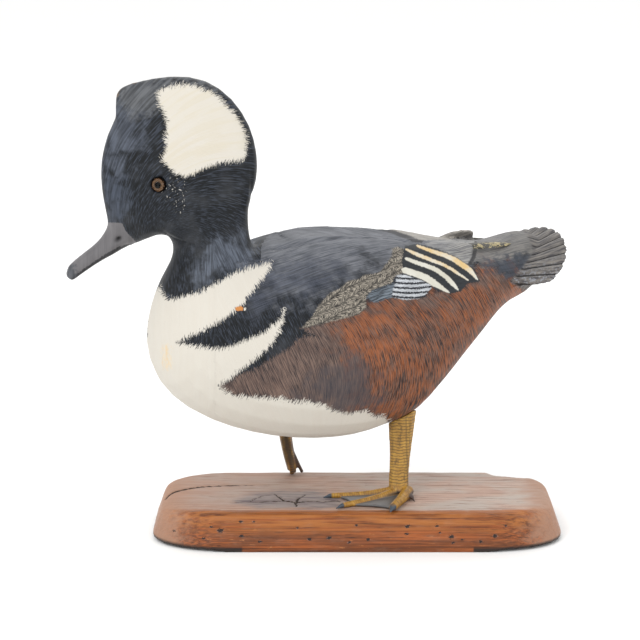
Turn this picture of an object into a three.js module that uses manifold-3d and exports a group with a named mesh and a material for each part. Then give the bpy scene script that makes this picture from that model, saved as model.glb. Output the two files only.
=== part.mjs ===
// A hooded merganser carved in wood and painted, standing on the board it was made with.
// Millimetres, +Z up. The origin is the middle of the board's underside, and the bird faces -X.

import * as THREE from 'three';
import { mergeVertices } from 'three/addons/utils/BufferGeometryUtils.js';
import Module from 'manifold-3d';

const wasm = await Module();
wasm.setup();

// Gap kept between two pieces that touch
const SEAT_GAP = 0.3;

// The board. Its corners are rounder along its length than across it, and its lower edge is worn
// away by waneLift at both ends.
const BASE = {
  length: 320,
  depth: 128.5,
  thickness: 28.5,
  cornerLong: 58,
  cornerWide: 38,
  cornerSteps: 8,
  lean: 8,
  leanLow: 5.6,
  edgeRadius: 7,
  edgeSteps: 4,
  footInset: 7,
  footHeight: 5,
  waneLift: 2.2,
  waneStart: 104,
  waneLength: 12,
};

// How far back the bird stands over the board and how far it is turned: its tail swings to +Y
const BIRD = { y: 16, turn: THREE.MathUtils.degToRad(18) };

// The head is turned back about an upright axis through the neck
const NECK_AXIS = -118;
const HEAD_TURN = THREE.MathUtils.degToRad(-22);

// The shallow valley between the two shoulder lobes
const BACK_VALLEY = { depth: 7, halfWidth: 18, from: -74, to: 78 };

// Cross-sections of the carving, from the root of the tail over the body and neck to the tip of the
// bill. In each, top and low are the points of the upper and the lower outline that it joins, aft of
// and above the bird's own origin. half is the greatest half width, at is how far down from top it
// lies, round shapes the upper and lower part (2 is an ellipse), rim is the half thickness of a thin
// upper edge, sag is how far the sides hang and turn is the share of the head's turn.
const STATIONS = [
  { top: [157, 219], low: [160, 203], half: 13, at: 0.45, round: [2, 1.6], sag: 4 },
  { top: [148, 225.5], low: [151, 187.5], half: 23, at: 0.42, round: [2, 1.5], sag: 5 },
  { top: [137, 228], low: [140, 177.5], half: 30, at: 0.4, round: [2, 1.5], sag: 4 },
  { top: [124, 225.5], low: [125, 171.5], half: 36, at: 0.41, round: [2.1, 1.6], sag: 2.5 },
  { top: [110, 222], low: [110, 162.5], half: 42.5, at: 0.44, round: [2.1, 1.75], sag: 1 },
  { top: [95, 222], low: [94.5, 147], half: 49, at: 0.47, round: [2.1, 1.9] },
  { top: [78, 224.5], low: [76.5, 128], half: 55, at: 0.49, round: [2.2, 2] },
  { top: [61, 228.5], low: [58.5, 108.5], half: 61, at: 0.5, round: [2.3, 2.1] },
  { top: [43, 233], low: [39.5, 90], half: 66, at: 0.5, round: [2.3, 2.1] },
  { top: [22, 236.8], low: [16, 80.6], half: 70, at: 0.52, round: [2.3, 2.1] },
  { top: [0, 239.5], low: [-10, 75], half: 72, at: 0.53, round: [2.3, 2.1] },
  { top: [-22, 241], low: [-40, 74.6], half: 72, at: 0.54, round: [2.3, 2.1] },
  { top: [-44, 240.5], low: [-74, 79.6], half: 71, at: 0.55, round: [2.3, 2.1] },
  { top: [-62, 237.3], low: [-108, 90], half: 69, at: 0.56, round: [2.2, 2.1] },
  { top: [-74, 234.6], low: [-138, 105.6], half: 65, at: 0.57, round: [2.2, 2.1] },
  { top: [-81, 233], low: [-159.5, 128], half: 59, at: 0.58, round: [2.1, 2.1] },
  { top: [-84.5, 232], low: [-167.5, 156], half: 51, at: 0.58, round: [2, 2.1], turn: 0.05 },
  { top: [-86.8, 233], low: [-164.5, 183], half: 41, at: 0.55, round: [2, 2.1], turn: 0.2 },
  { top: [-88, 237], low: [-157.3, 204], half: 32, at: 0.5, round: [2, 2.1], turn: 0.45 },
  { top: [-89, 243], low: [-149, 220], half: 26, at: 0.45, round: [2, 2], turn: 0.7 },
  { top: [-89.4, 252], low: [-147, 229], half: 23.5, at: 0.45, round: [2, 2], turn: 0.9 },
  { top: [-89, 261], low: [-148, 235], half: 23.5, at: 0.5, round: [1.9, 2], rim: 2, turn: 1 },
  { top: [-86.5, 270], low: [-151, 238.8], half: 25, at: 0.62, round: [1.6, 2], rim: 5, turn: 1 },
  { top: [-82.7, 284], low: [-154, 240], half: 26, at: 0.7, round: [1.35, 2], rim: 7, turn: 1 },
  { top: [-82.4, 302], low: [-157, 240], half: 26, at: 0.74, round: [1.3, 2], rim: 7.5, turn: 1 },
  { top: [-88, 323.6], low: [-159, 239.4], half: 26, at: 0.77, round: [1.25, 2], rim: 7.5, turn: 1 },
  { top: [-101, 343.4], low: [-161, 238.7], half: 26, at: 0.78, round: [1.25, 2], rim: 7.5, turn: 1 },
  { top: [-120.5, 357], low: [-163, 237.8], half: 26, at: 0.78, round: [1.25, 2], rim: 7.5, turn: 1 },
  { top: [-144, 360.3], low: [-165, 236.9], half: 26, at: 0.78, round: [1.25, 2], rim: 7.5, turn: 1 },
  { top: [-167, 357.2], low: [-167, 236.1], half: 25.5, at: 0.77, round: [1.25, 2], rim: 7.2, turn: 1 },
  { top: [-183, 352.2], low: [-169, 235.3], half: 24.5, at: 0.75, round: [1.3, 2], rim: 6.5, turn: 1 },
  { top: [-188, 345.5], low: [-170.5, 234.7], half: 23.5, at: 0.72, round: [1.35, 2], rim: 6.3, turn: 1 },
  { top: [-188.4, 331], low: [-172.5, 233.9], half: 22.2, at: 0.68, round: [1.5, 2.1], rim: 6.6, turn: 1 },
  { top: [-195, 316.5], low: [-175, 232.9], half: 20.6, at: 0.62, round: [1.7, 2.1], rim: 7, turn: 1 },
  { top: [-200, 297.5], low: [-178, 231.7], half: 18.3, at: 0.58, round: [1.9, 2.1], rim: 7, turn: 1 },
  { top: [-200.3, 278], low: [-181, 230.3], half: 15.6, at: 0.56, round: [2, 2.1], rim: 6, turn: 1 },
  { top: [-198, 262], low: [-184.5, 228.8], half: 12.8, at: 0.55, round: [2, 2.2], rim: 5, turn: 1 },
  { top: [-196.5, 249], low: [-188, 227], half: 10.3, at: 0.6, round: [2, 2.4], rim: 4, turn: 1 },
  { top: [-200.2, 240], low: [-193, 224], half: 9.4, at: 0.66, round: [2, 3], rim: 3.5, turn: 1 },
  { top: [-206.5, 232.3], low: [-199, 220.8], half: 9, at: 0.66, round: [2, 3], rim: 3.5, turn: 1 },
  { top: [-215, 225.4], low: [-208, 215.2], half: 8.7, at: 0.66, round: [2, 3], rim: 3.5, turn: 1 },
  { top: [-223, 219], low: [-218, 208.2], half: 7.8, at: 0.66, round: [2, 3], rim: 3, turn: 1 },
  { top: [-228.6, 213.4], low: [-225.5, 202.6], half: 5.4, at: 0.6, round: [2, 2.5], rim: 2, turn: 1 },
];
const SECTIONS_PER_STATION = 2;
const POINTS_DOWN_A_SIDE = 13;
const TAIL_END = [160.5, 210];
const BILL_END = [-231, 206];

// The tail: a cocked, slightly rolled fan of feathers that spread from one point inside the rump
const TAIL = {
  root: [90, -7.5, 184.6],
  pitch: THREE.MathUtils.degToRad(29.6),
  roll: THREE.MathUtils.degToRad(10.5),
  swing: THREE.MathUtils.degToRad(-7.9),
  length: 87,
  sideLength: 66,
  sideRoundness: 2.2,
  startLength: 26,
  spread: [THREE.MathUtils.degToRad(-45), THREE.MathUtils.degToRad(53)],
  arch: 5,
  archWidth: 48,
  feathers: 12,
  stepsPerFeather: 3,
  stepsAlong: 7,
  scallop: 0.8,
  groove: 0.9,
  thickness: [16, 2.8],
  taper: 0.7,
  sideThinning: 0.8,
};

// The tips of the two folded wings, rounded leaves that stand a little off the rump. Places are aft,
// out from the middle and up, in the bird's own frame, lean is how steeply the leaf slopes out, and
// taper is how much of the leaf's width its rounded tip is long.
const WING_TIPS = [
  {
    side: -1, from: [26, 41, 196], to: [86.5, 24, 223.5], width: 28, thickness: 7, lean: 48, taper: 0.8,
    steps: 8, across: 6,
  },
  {
    side: 1, from: [26, 41, 190], to: [107, 22, 225], width: 28, thickness: 7, lean: 48, taper: 0.8,
    steps: 8, across: 6,
  },
];

// The slips of the wing tips that show over the rump
const PRIMARIES = {
  left_primaries: {
    side: -1, from: [76, 24, 223.6], to: [123, 18, 222], width: 8, thickness: 2.4, lean: 25, taper: 3,
    steps: 7, across: 4,
  },
  right_primaries: {
    side: 1, from: [84, 31, 219.5], to: [123, 26, 217.5], width: 8, thickness: 2.4, lean: 30, taper: 3,
    steps: 7, across: 4,
  },
};

// How the section of a leaf changes: its edges are thinner than its middle and lie lower, and its tip
// is thinner too
const LEAF = { crown: 0.05, edgeThinning: 0.7, tipThinning: 0.55, bluntTip: 0.002 };

// The legs, in the board's frame. Each path runs from inside the belly down to the board, with the
// half width along the bird and across it at each point.
const LEFT_LEG = {
  shank: [
    { at: [35.5, 0, 96], half: [11.5, 7.5] },
    { at: [35, -3, 80], half: [10, 6.4] },
    { at: [34, -7, 60], half: [8.2, 5.6] },
    { at: [33, -10.5, 42], half: [7.8, 5.4] },
    { at: [33.5, -12.5, 33], half: [8.2, 6.2] },
  ],
  toes: [
    { root: [31, -11], tip: [-27, -19], half: 2.8, rise: 2.4 },
    { root: [34, -12], tip: [-17, -46.5], half: 2.8, rise: 2.4 },
    { root: [40.5, -14], tip: [25, -56], half: 4, rise: 3.4 },
  ],
  hindToe: { root: [40, -12], tip: [45, -29], half: 2.4, rise: 2.4 },
};
const RIGHT_LEG = {
  shank: [
    { at: [-58, 41, 96], half: [6.4, 7] },
    { at: [-58, 43, 76], half: [6, 6.6] },
    { at: [-56.8, 45, 60], half: [5.2, 6.4] },
    { at: [-54, 46, 44], half: [4.7, 6.2] },
    { at: [-51.5, 46.5, 33], half: [4.2, 5.4] },
  ],
  toes: [
    { from: [-55, 42, 50], to: [-51.5, 41.5, 30], half: 2.4 },
    { from: [-55, 46, 50], to: [-50, 46, 30], half: 2.6 },
    { from: [-55, 50, 50], to: [-51.5, 50, 30], half: 2.3 },
  ],
  hindToe: { from: [-52.5, 45.5, 50], to: [-43.5, 46.5, 30], half: 1.7 },
};
const LIMB = { sides: 8, legSteps: 8, strandSteps: 5, strandTaper: 0.8 };

// A toe: its root over the heel, its shares of the full half width along it, and its claw
const TOE = {
  steps: 10,
  rootLift: 5,
  rootSwell: 1.25,
  fullAt: 0.4,
  middleAt: 0.8,
  droop: 0.3,
  middle: 0.8,
  end: 0.75,
  clawLength: 7,
};
const CLAW = { middle: 0.42, drop: 1, tipLift: 0.7, tipHalf: 0.5 };

// A web: how much of the toes' length it fills, how far its front edge is hollowed and its thickness
const WEB = { from: 0.06, to: 0.8, hollow: 0.09, steps: 5, lift: 0.4, thickness: 1.6 };

// The glass eyes, buttons with a domed front, in sockets a little wider than they are. They sit out
// from the middle of the head by headHalf and look a little forward.
const EYE = {
  aft: -154.3,
  up: 281.5,
  headHalf: 23.7,
  forward: THREE.MathUtils.degToRad(14),
  radius: 5.3,
  dome: 3.2,
  domeSteps: 5,
  depth: 5,
  sides: 16,
};

const BASE_COLOUR = 0x9c7458;
const PAINT_COLOUR = 0x4a4644;
const LEG_COLOUR = 0xb48c3c;
const GLASS_COLOUR = 0x8a6a50;

const paint = new THREE.MeshStandardMaterial({ color: PAINT_COLOUR, roughness: 0.7 });
const wood = new THREE.MeshStandardMaterial({ color: BASE_COLOUR, roughness: 0.65 });
const legPaint = new THREE.MeshStandardMaterial({ color: LEG_COLOUR, roughness: 0.55 });
const glass = new THREE.MeshStandardMaterial({ color: GLASS_COLOUR, roughness: 0.08 });

// A row of numbers part of the way along a list of rows, on a smooth curve through them
function rowAt(rows, t) {
  const last = rows.length - 1;
  const i = Math.min(Math.floor(t), last - 1);
  const u = t - i;
  const near = [i - 1, i, i + 1, i + 2].map((k) => rows[THREE.MathUtils.clamp(k, 0, last)]);
  return rows[0].map((_, k) => {
    const [p0, p1, p2, p3] = near.map((row) => row[k]);
    const bend = (2 * p0 - 5 * p1 + 4 * p2 - p3) * u + (3 * (p1 - p2) + p3 - p0) * u * u;
    return p1 + 0.5 * u * (p2 - p0 + bend);
  });
}

// A closed mesh from points and triangles, turned so that its faces point out
function closedMesh(points, index) {
  const positions = points.flatMap((p) => [p.x, p.y, p.z]);
  let volume = 0;
  for (let i = 0; i < index.length; i += 3) {
    const [a, b, c] = [points[index[i]], points[index[i + 1]], points[index[i + 2]]];
    volume += a.clone().cross(b).dot(c);
  }
  const outward = volume > 0 ? index : index.toReversed();
  const geometry = new THREE.BufferGeometry();
  geometry.setAttribute('position', new THREE.Float32BufferAttribute(positions, 3));
  geometry.setIndex(outward);
  return geometry;
}

// A closed mesh from rings of points, each ring in the same sense, with a point at either end
function ringsToGeometry(rings, startPoint, endPoint) {
  const count = rings[0].length;
  const points = [...rings.flat(), startPoint, endPoint];
  const first = rings.length * count;
  const lastRing = first - count;
  const index = [];
  for (let i = 0; i < count; i += 1) {
    const next = (i + 1) % count;
    for (let ring = 0; ring < lastRing; ring += count) {
      index.push(ring + i, ring + next, ring + next + count);
      index.push(ring + i, ring + next + count, ring + i + count);
    }
    index.push(first, next, i, first + 1, lastRing + i, lastRing + next);
  }
  return closedMesh(points, index);
}

// A thin closed plate from two grids of points, one above the other
function plateToGeometry(upper, lower) {
  const rows = upper.length;
  const columns = upper[0].length;
  const points = [...upper.flat(), ...lower.flat()];
  const below = rows * columns;
  const index = [];
  for (let r = 0; r < rows - 1; r += 1) {
    for (let c = 0; c < columns - 1; c += 1) {
      const a = r * columns + c;
      const b = a + columns;
      index.push(a, a + 1, b + 1, a, b + 1, b);
      index.push(below + a, below + b + 1, below + a + 1, below + a, below + b, below + b + 1);
    }
  }
  const count = (length) => Array.from({ length }, (_, i) => i);
  const rim = [
    ...count(columns - 1),
    ...count(rows - 1).map((r) => r * columns + columns - 1),
    ...count(columns - 1).map((c) => rows * columns - 1 - c),
    ...count(rows - 1).map((r) => (rows - 1 - r) * columns),
  ];
  rim.forEach((a, i) => {
    const b = rim[(i + 1) % rim.length];
    index.push(a, below + b, b, a, below + a, below + b);
  });
  return closedMesh(points, index);
}

// The same closed mesh as a solid that can be joined and cut
function toSolid(geometry) {
  const bare = geometry.clone();
  bare.deleteAttribute('normal');
  bare.deleteAttribute('uv');
  const merged = mergeVertices(bare, 1e-4);
  return new wasm.Manifold(new wasm.Mesh({
    numProp: 3,
    vertProperties: new Float32Array(merged.attributes.position.array),
    triVerts: new Uint32Array(merged.index.array),
  }));
}

function toGeometry(solid) {
  const mesh = solid.getMesh();
  const geometry = new THREE.BufferGeometry();
  geometry.setAttribute('position', new THREE.Float32BufferAttribute(mesh.vertProperties, 3));
  geometry.setIndex(new THREE.Uint32BufferAttribute(mesh.triVerts, 1));
  geometry.computeVertexNormals();
  return geometry;
}

// How far out a superellipse lies, from 0 at its end to 1 at its widest
function bulge(share, roundness) {
  return (1 - (1 - share) ** roundness) ** (1 / roundness);
}

// Half width of a cross-section, a share of the way down from its upper to its lower point
function halfWidth(share, section) {
  const { half, at, roundTop, roundLow, rim, height } = section;
  if (share > at) {
    return half * bulge((1 - share) / (1 - at), roundLow);
  }
  const intoRim = rim > 0.01 ? Math.min((share * height) / rim, 1) : 1;
  const rimHalf = rim * Math.sqrt(1 - (1 - intoRim) ** 2);
  return rimHalf + (half - rim) * bulge(share / at, roundTop);
}

// Turns a point of the neck or head about the upright axis through the neck
function turnHead(point, share) {
  const axis = new THREE.Vector3(NECK_AXIS, 0, 0);
  return point.sub(axis).applyAxisAngle(new THREE.Vector3(0, 0, 1), share * HEAD_TURN).add(axis);
}

// How far the back sinks between the shoulder lobes
function valley(aft, across) {
  const { depth, halfWidth: reach, from, to } = BACK_VALLEY;
  const along = THREE.MathUtils.clamp((aft - from) / (to - from), 0, 1);
  const side = THREE.MathUtils.clamp(Math.abs(across) / reach, 0, 1);
  return depth * Math.sin(Math.PI * along) * (1 + Math.cos(Math.PI * side)) / 2;
}

// One ring of points round the carving
function sectionRing(section) {
  const { top, low, half, sag, turn } = section;
  const ring = [];
  const steps = 2 * POINTS_DOWN_A_SIDE;
  for (let i = 0; i < steps; i += 1) {
    const angle = (2 * Math.PI * i) / steps;
    const share = (1 - Math.cos(angle)) / 2;
    const across = Math.sign(Math.sin(angle)) * halfWidth(share, section);
    const aft = top[0] + share * (low[0] - top[0]);
    const up = top[1] + share * (low[1] - top[1]);
    const isUpper = share < section.at;
    const sunk = isUpper ? valley(aft, across) : 0;
    const hang = sag * (across / half) ** 2;
    ring.push(turnHead(new THREE.Vector3(aft, across, up - sunk - hang), turn));
  }
  return ring;
}

function makeCarvedBody() {
  const rows = STATIONS.map(({ top, low, half, at, round, rim = 0, sag = 0, turn = 0 }) => (
    [...top, ...low, half, at, ...round, rim, sag, turn]
  ));
  const rings = [];
  const count = (rows.length - 1) * SECTIONS_PER_STATION;
  for (let i = 0; i <= count; i += 1) {
    const row = rowAt(rows, i / SECTIONS_PER_STATION);
    const [topAft, topUp, lowAft, lowUp, half, at, roundTop, roundLow, rim, sag, turn] = row;
    const height = Math.hypot(topAft - lowAft, topUp - lowUp);
    const top = [topAft, topUp];
    const low = [lowAft, lowUp];
    rings.push(sectionRing({ top, low, half, at, roundTop, roundLow, rim, sag, turn, height }));
  }
  const tailEnd = new THREE.Vector3(TAIL_END[0], 0, TAIL_END[1]);
  const billEnd = turnHead(new THREE.Vector3(BILL_END[0], 0, BILL_END[1]), 1);
  return ringsToGeometry(rings, tailEnd, billEnd);
}

// A point of the tail fan: how far along it, at which angle and how far above its mid plane
function tailPoint(reach, angle, above) {
  const across = reach * Math.sin(angle);
  const lift = above - TAIL.arch * (across / TAIL.archWidth) ** 2;
  const point = new THREE.Vector3(reach * Math.cos(angle), across, lift);
  const [x, y, z] = TAIL.root;
  return point
    .applyAxisAngle(new THREE.Vector3(1, 0, 0), TAIL.roll)
    .applyAxisAngle(new THREE.Vector3(0, 1, 0), -TAIL.pitch)
    .applyAxisAngle(new THREE.Vector3(0, 0, 1), TAIL.swing)
    .add(new THREE.Vector3(x, y, z));
}

// The fan as an upper and a lower surface, with a groove between each pair of feathers
function makeTail() {
  const { feathers, stepsPerFeather, stepsAlong, spread, thickness } = TAIL;
  const columns = feathers * stepsPerFeather;
  const upper = [];
  const lower = [];
  for (let j = 0; j <= stepsAlong; j += 1) {
    const along = j / stepsAlong;
    const thick = THREE.MathUtils.lerp(thickness[0], thickness[1], along ** TAIL.taper);
    upper.push([]);
    lower.push([]);
    for (let i = 0; i <= columns; i += 1) {
      const side = (2 * i) / columns - 1;
      const inFeather = 2 * ((i / stepsPerFeather) % 1) - 1;
      const shape = Math.sqrt(1 - Math.abs(side) ** TAIL.sideRoundness);
      const extra = (TAIL.length - TAIL.sideLength) * shape;
      const end = TAIL.sideLength + extra - TAIL.scallop * inFeather ** 2;
      const reach = THREE.MathUtils.lerp(TAIL.startLength, end, along);
      const angle = THREE.MathUtils.lerp(spread[0], spread[1], i / columns);
      const cut = TAIL.groove * inFeather ** 4 * along;
      const thin = Math.sqrt(1 - TAIL.sideThinning * side ** 6);
      upper[j].push(tailPoint(reach, angle, (thick * thin) / 2 - cut));
      lower[j].push(tailPoint(reach, angle, (-thick * thin) / 2));
    }
  }
  return plateToGeometry(upper, lower);
}

// A leaf: a thin plate with a round tip, sloping down and out from the middle of the bird
function makeLeaf({ side, from, to, width, thickness, lean, taper, steps, across }) {
  const start = new THREE.Vector3(from[0], side * from[1], from[2]);
  const end = new THREE.Vector3(to[0], side * to[1], to[2]);
  const along = end.clone().sub(start);
  const length = along.length();
  along.normalize();
  const level = new THREE.Vector3(0, 0, 1).cross(along).normalize();
  const normal = along.clone().cross(level);
  const slope = THREE.MathUtils.degToRad(-side * lean);
  level.applyAxisAngle(along, slope);
  normal.applyAxisAngle(along, slope);
  const roundFrom = length - taper * width;
  const upper = [];
  const lower = [];
  for (let j = 0; j <= steps; j += 1) {
    const reach = length * (1 - (1 - j / steps) ** 1.6);
    const intoTip = Math.max((reach - roundFrom) / (length - roundFrom), 0);
    const half = (width / 2) * Math.sqrt(Math.max(1 - intoTip ** 2, LEAF.bluntTip));
    upper.push([]);
    lower.push([]);
    for (let i = 0; i <= across; i += 1) {
      const share = (2 * i) / across - 1;
      const edge = 1 - LEAF.edgeThinning * share ** 2;
      const thin = (thickness / 2) * (1 - LEAF.tipThinning * intoTip) * edge;
      const crown = -LEAF.crown * width * share ** 2;
      const place = start.clone().addScaledVector(along, reach).addScaledVector(level, share * half);
      upper[j].push(place.clone().addScaledVector(normal, crown + thin));
      lower[j].push(place.clone().addScaledVector(normal, crown - thin));
    }
  }
  return plateToGeometry(upper, lower);
}

// A limb with an oval section along a path of points, each with its half widths
function makeLimb(path, steps, floor = -Infinity) {
  const rows = path.map(({ at, half }) => [...at, ...half]);
  const rings = [];
  for (let j = 0; j <= steps; j += 1) {
    const t = ((path.length - 1) * j) / steps;
    const [x, y, z, halfLong, halfWide] = rowAt(rows, t);
    const ahead = rowAt(rows, Math.min(t + 0.05, path.length - 1));
    const behind = rowAt(rows, Math.max(t - 0.05, 0));
    const along = new THREE.Vector3(ahead[0] - behind[0], ahead[1] - behind[1], ahead[2] - behind[2]);
    along.normalize();
    const upright = Math.abs(along.z) > 0.7;
    const guide = upright ? new THREE.Vector3(0, 1, 0) : new THREE.Vector3(0, 0, 1);
    const first = guide.clone().cross(along).normalize();
    const second = along.clone().cross(first);
    const ring = [];
    for (let i = 0; i < LIMB.sides; i += 1) {
      const angle = (2 * Math.PI * i) / LIMB.sides;
      const point = new THREE.Vector3(x, y, z)
        .addScaledVector(first, halfLong * Math.cos(angle))
        .addScaledVector(second, halfWide * Math.sin(angle));
      point.z = Math.max(point.z, floor);
      ring.push(point);
    }
    rings.push(ring);
  }
  const ends = [rings[0], rings.at(-1)].map((ring) => {
    const middle = ring.reduce((sum, p) => sum.add(p), new THREE.Vector3());
    return middle.divideScalar(ring.length);
  });
  return ringsToGeometry(rings, ends[0], ends[1]);
}

const FLOOR = BASE.thickness + SEAT_GAP;

// A point on the line of a toe, a share of the way from its root to the tip of its claw
function toePoint({ root, tip }, share, lift) {
  const x = THREE.MathUtils.lerp(root[0], tip[0], share);
  const y = THREE.MathUtils.lerp(root[1], tip[1], share);
  return [x, y, FLOOR + lift];
}

// A toe along the board, from the heel to its claw
function makeToe(toe) {
  const { root, tip, half, rise } = toe;
  const claw = 1 - TOE.clawLength / Math.hypot(tip[0] - root[0], tip[1] - root[1]);
  const even = (share) => [share * half, share * half];
  return makeLimb([
    { at: toePoint(toe, 0, TOE.rootLift), half: even(TOE.rootSwell) },
    { at: toePoint(toe, TOE.fullAt * claw, rise), half: even(1) },
    { at: toePoint(toe, TOE.middleAt * claw, rise - TOE.droop), half: even(TOE.middle) },
    { at: toePoint(toe, claw, rise - TOE.droop), half: even(TOE.end) },
    { at: toePoint(toe, (1 + claw) / 2, rise - CLAW.drop), half: even(CLAW.middle) },
    { at: toePoint(toe, 1, CLAW.tipLift), half: [CLAW.tipHalf, CLAW.tipHalf] },
  ], TOE.steps, FLOOR);
}

// The web between two toes, with a hollow front edge
function makeWeb(toeA, toeB) {
  const { from, to, hollow, steps, lift, thickness } = WEB;
  const upper = [];
  const lower = [];
  for (let j = 0; j <= steps; j += 1) {
    upper.push([]);
    lower.push([]);
    for (let i = 0; i <= steps; i += 1) {
      const share = i / steps;
      const reach = THREE.MathUtils.lerp(from, to, j / steps) * (1 - 4 * hollow * share * (1 - share));
      const near = new THREE.Vector3(...toePoint(toeA, reach, lift));
      const far = new THREE.Vector3(...toePoint(toeB, reach, lift));
      const point = near.lerp(far, share);
      lower[j].push(point);
      upper[j].push(point.clone().setZ(point.z + thickness));
    }
  }
  return plateToGeometry(upper, lower);
}

function joinAll(geometries) {
  return geometries.map(toSolid).reduce((sum, solid) => sum.add(solid));
}

function makeLeftLeg() {
  const { shank, toes, hindToe } = LEFT_LEG;
  const webs = toes.slice(1).map((toe, i) => makeWeb(toes[i], toe));
  const toeShapes = [...toes, hindToe].map(makeToe);
  return joinAll([makeLimb(shank, LIMB.legSteps, FLOOR), ...toeShapes, ...webs]);
}

function makeRightLeg() {
  const { shank, toes, hindToe } = RIGHT_LEG;
  const strands = [...toes, hindToe].map(({ from, to, half }) => makeLimb([
    { at: from, half: [half, half] },
    { at: to, half: [LIMB.strandTaper * half, LIMB.strandTaper * half] },
  ], LIMB.strandSteps, FLOOR));
  return joinAll([makeLimb(shank, LIMB.legSteps, FLOOR), ...strands]);
}

// One outline of the board, drawn in by inset, at height z
function baseRing(inset, z) {
  const { length, depth, cornerLong, cornerWide, cornerSteps } = BASE;
  const cornerShrink = 0.6;
  const long = cornerLong - cornerShrink * inset;
  const wide = cornerWide - cornerShrink * inset;
  const points = [];
  [[1, 1], [-1, 1], [-1, -1], [1, -1]].forEach(([sx, sy], corner) => {
    for (let i = 0; i <= cornerSteps; i += 1) {
      const angle = (Math.PI / 2) * (corner + i / cornerSteps);
      const x = sx * (length / 2 - inset - long) + long * Math.cos(angle);
      const y = sy * (depth / 2 - inset - wide) + wide * Math.sin(angle);
      points.push(new THREE.Vector3(x, y, z));
    }
  });
  return points;
}

// The board: flat top and underside, leaning sides, rounded edge, and a worn lower edge at each end
function makeBase() {
  const { thickness, lean, leanLow, edgeRadius, edgeSteps, footInset, footHeight } = BASE;
  const worn = baseRing(0, 0).map((p) => {
    const end = BASE.waneStart + BASE.waneLength;
    return p.setZ(BASE.waneLift * THREE.MathUtils.smoothstep(Math.abs(p.x), BASE.waneStart, end));
  });
  const rings = [baseRing(footInset, 0), worn, baseRing(0, footHeight)];
  for (let i = 0; i <= edgeSteps; i += 1) {
    const angle = (Math.PI / 2) * (i / edgeSteps);
    const leaning = THREE.MathUtils.lerp(leanLow, lean, i / edgeSteps);
    const inset = leaning + edgeRadius * (1 - Math.cos(angle));
    rings.push(baseRing(inset, thickness - edgeRadius * (1 - Math.sin(angle))));
  }
  return ringsToGeometry(rings, new THREE.Vector3(0, 0, 0), new THREE.Vector3(0, 0, thickness));
}

// A glass eye, or its socket when it is made larger by the gap
function makeEye(side, gap = 0) {
  const { aft, up, headHalf, forward, radius, dome, domeSteps, depth, sides } = EYE;
  const profile = [new THREE.Vector2(0, -depth - gap), new THREE.Vector2(radius + gap, -depth - gap)];
  for (let i = 0; i < domeSteps; i += 1) {
    const angle = (Math.PI / 2) * (i / domeSteps);
    profile.push(new THREE.Vector2((radius + gap) * Math.cos(angle), (dome + gap) * Math.sin(angle)));
  }
  profile.push(new THREE.Vector2(0, dome + gap));
  const lathe = new THREE.LatheGeometry(profile, sides);
  if (side < 0) {
    lathe.rotateX(Math.PI);
  }
  lathe.rotateZ(side * forward);
  lathe.translate(aft - NECK_AXIS, side * headHalf, up);
  lathe.rotateZ(HEAD_TURN);
  lathe.translate(NECK_AXIS, 0, 0);
  return lathe;
}

// What is left of a solid that keeps the gap to a body, without loose crumbs
function clearOf(solid, body) {
  const shifts = [[0, 0, 0], [1, 0, 0], [0, 1, 0], [0, -1, 0], [0, 0, 1], [0, 0, -1]];
  const cutters = shifts.map((shift) => body.translate(shift.map((v) => v * SEAT_GAP)));
  const cut = cutters.reduce((left, cutter) => left.subtract(cutter), solid);
  return cut.decompose().reduce((a, b) => (b.volume() > a.volume() ? b : a));
}

function placeBird(object) {
  object.position.set(0, BIRD.y, 0);
  object.rotation.z = BIRD.turn;
  return object;
}

function named(name, geometry, material) {
  const mesh = new THREE.Mesh(geometry, material);
  mesh.name = name;
  return mesh;
}

const sockets = [-1, 1].map((side) => toSolid(makeEye(side, SEAT_GAP)));
const carving = joinAll([makeCarvedBody(), makeTail(), ...WING_TIPS.map(makeLeaf)]);
const birdSolid = sockets.reduce((sum, socket) => sum.subtract(socket), carving);

const birdGroup = placeBird(new THREE.Group());
birdGroup.add(named('bird', toGeometry(birdSolid), paint));
birdGroup.add(named('left_eye', makeEye(-1), glass));
birdGroup.add(named('right_eye', makeEye(1), glass));
Object.entries(PRIMARIES).forEach(([name, leaf]) => {
  birdGroup.add(named(name, toGeometry(clearOf(toSolid(makeLeaf(leaf)), birdSolid)), paint));
});

// The bird as it stands, a touch lower, cuts the tops of the legs
const turnDegrees = THREE.MathUtils.radToDeg(BIRD.turn);
const standing = birdSolid.rotate([0, 0, turnDegrees]).translate([0, BIRD.y, -SEAT_GAP]);
const decoy = new THREE.Group();
decoy.add(named('base', makeBase(), wood));
decoy.add(birdGroup);
decoy.add(named('left_leg', toGeometry(makeLeftLeg().subtract(standing)), legPaint));
decoy.add(named('right_leg', toGeometry(makeRightLeg().subtract(standing)), legPaint));

export default decoy;
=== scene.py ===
"""The looks of a carved and painted merganser on its board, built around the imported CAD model.

Everything is in metres, in the CAD model's frame: +Z is up, the bird faces -X and turns its left
side to -Y. Paint is laid out in the reference view: its outlines are given in that view's pixels,
and the bird's far side takes the mirror image of its near side.
"""

import logging
import math
from dataclasses import dataclass, field
from enum import Enum

import bmesh
import bpy
import numpy as np
from mathutils import Matrix, Vector, noise


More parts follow.
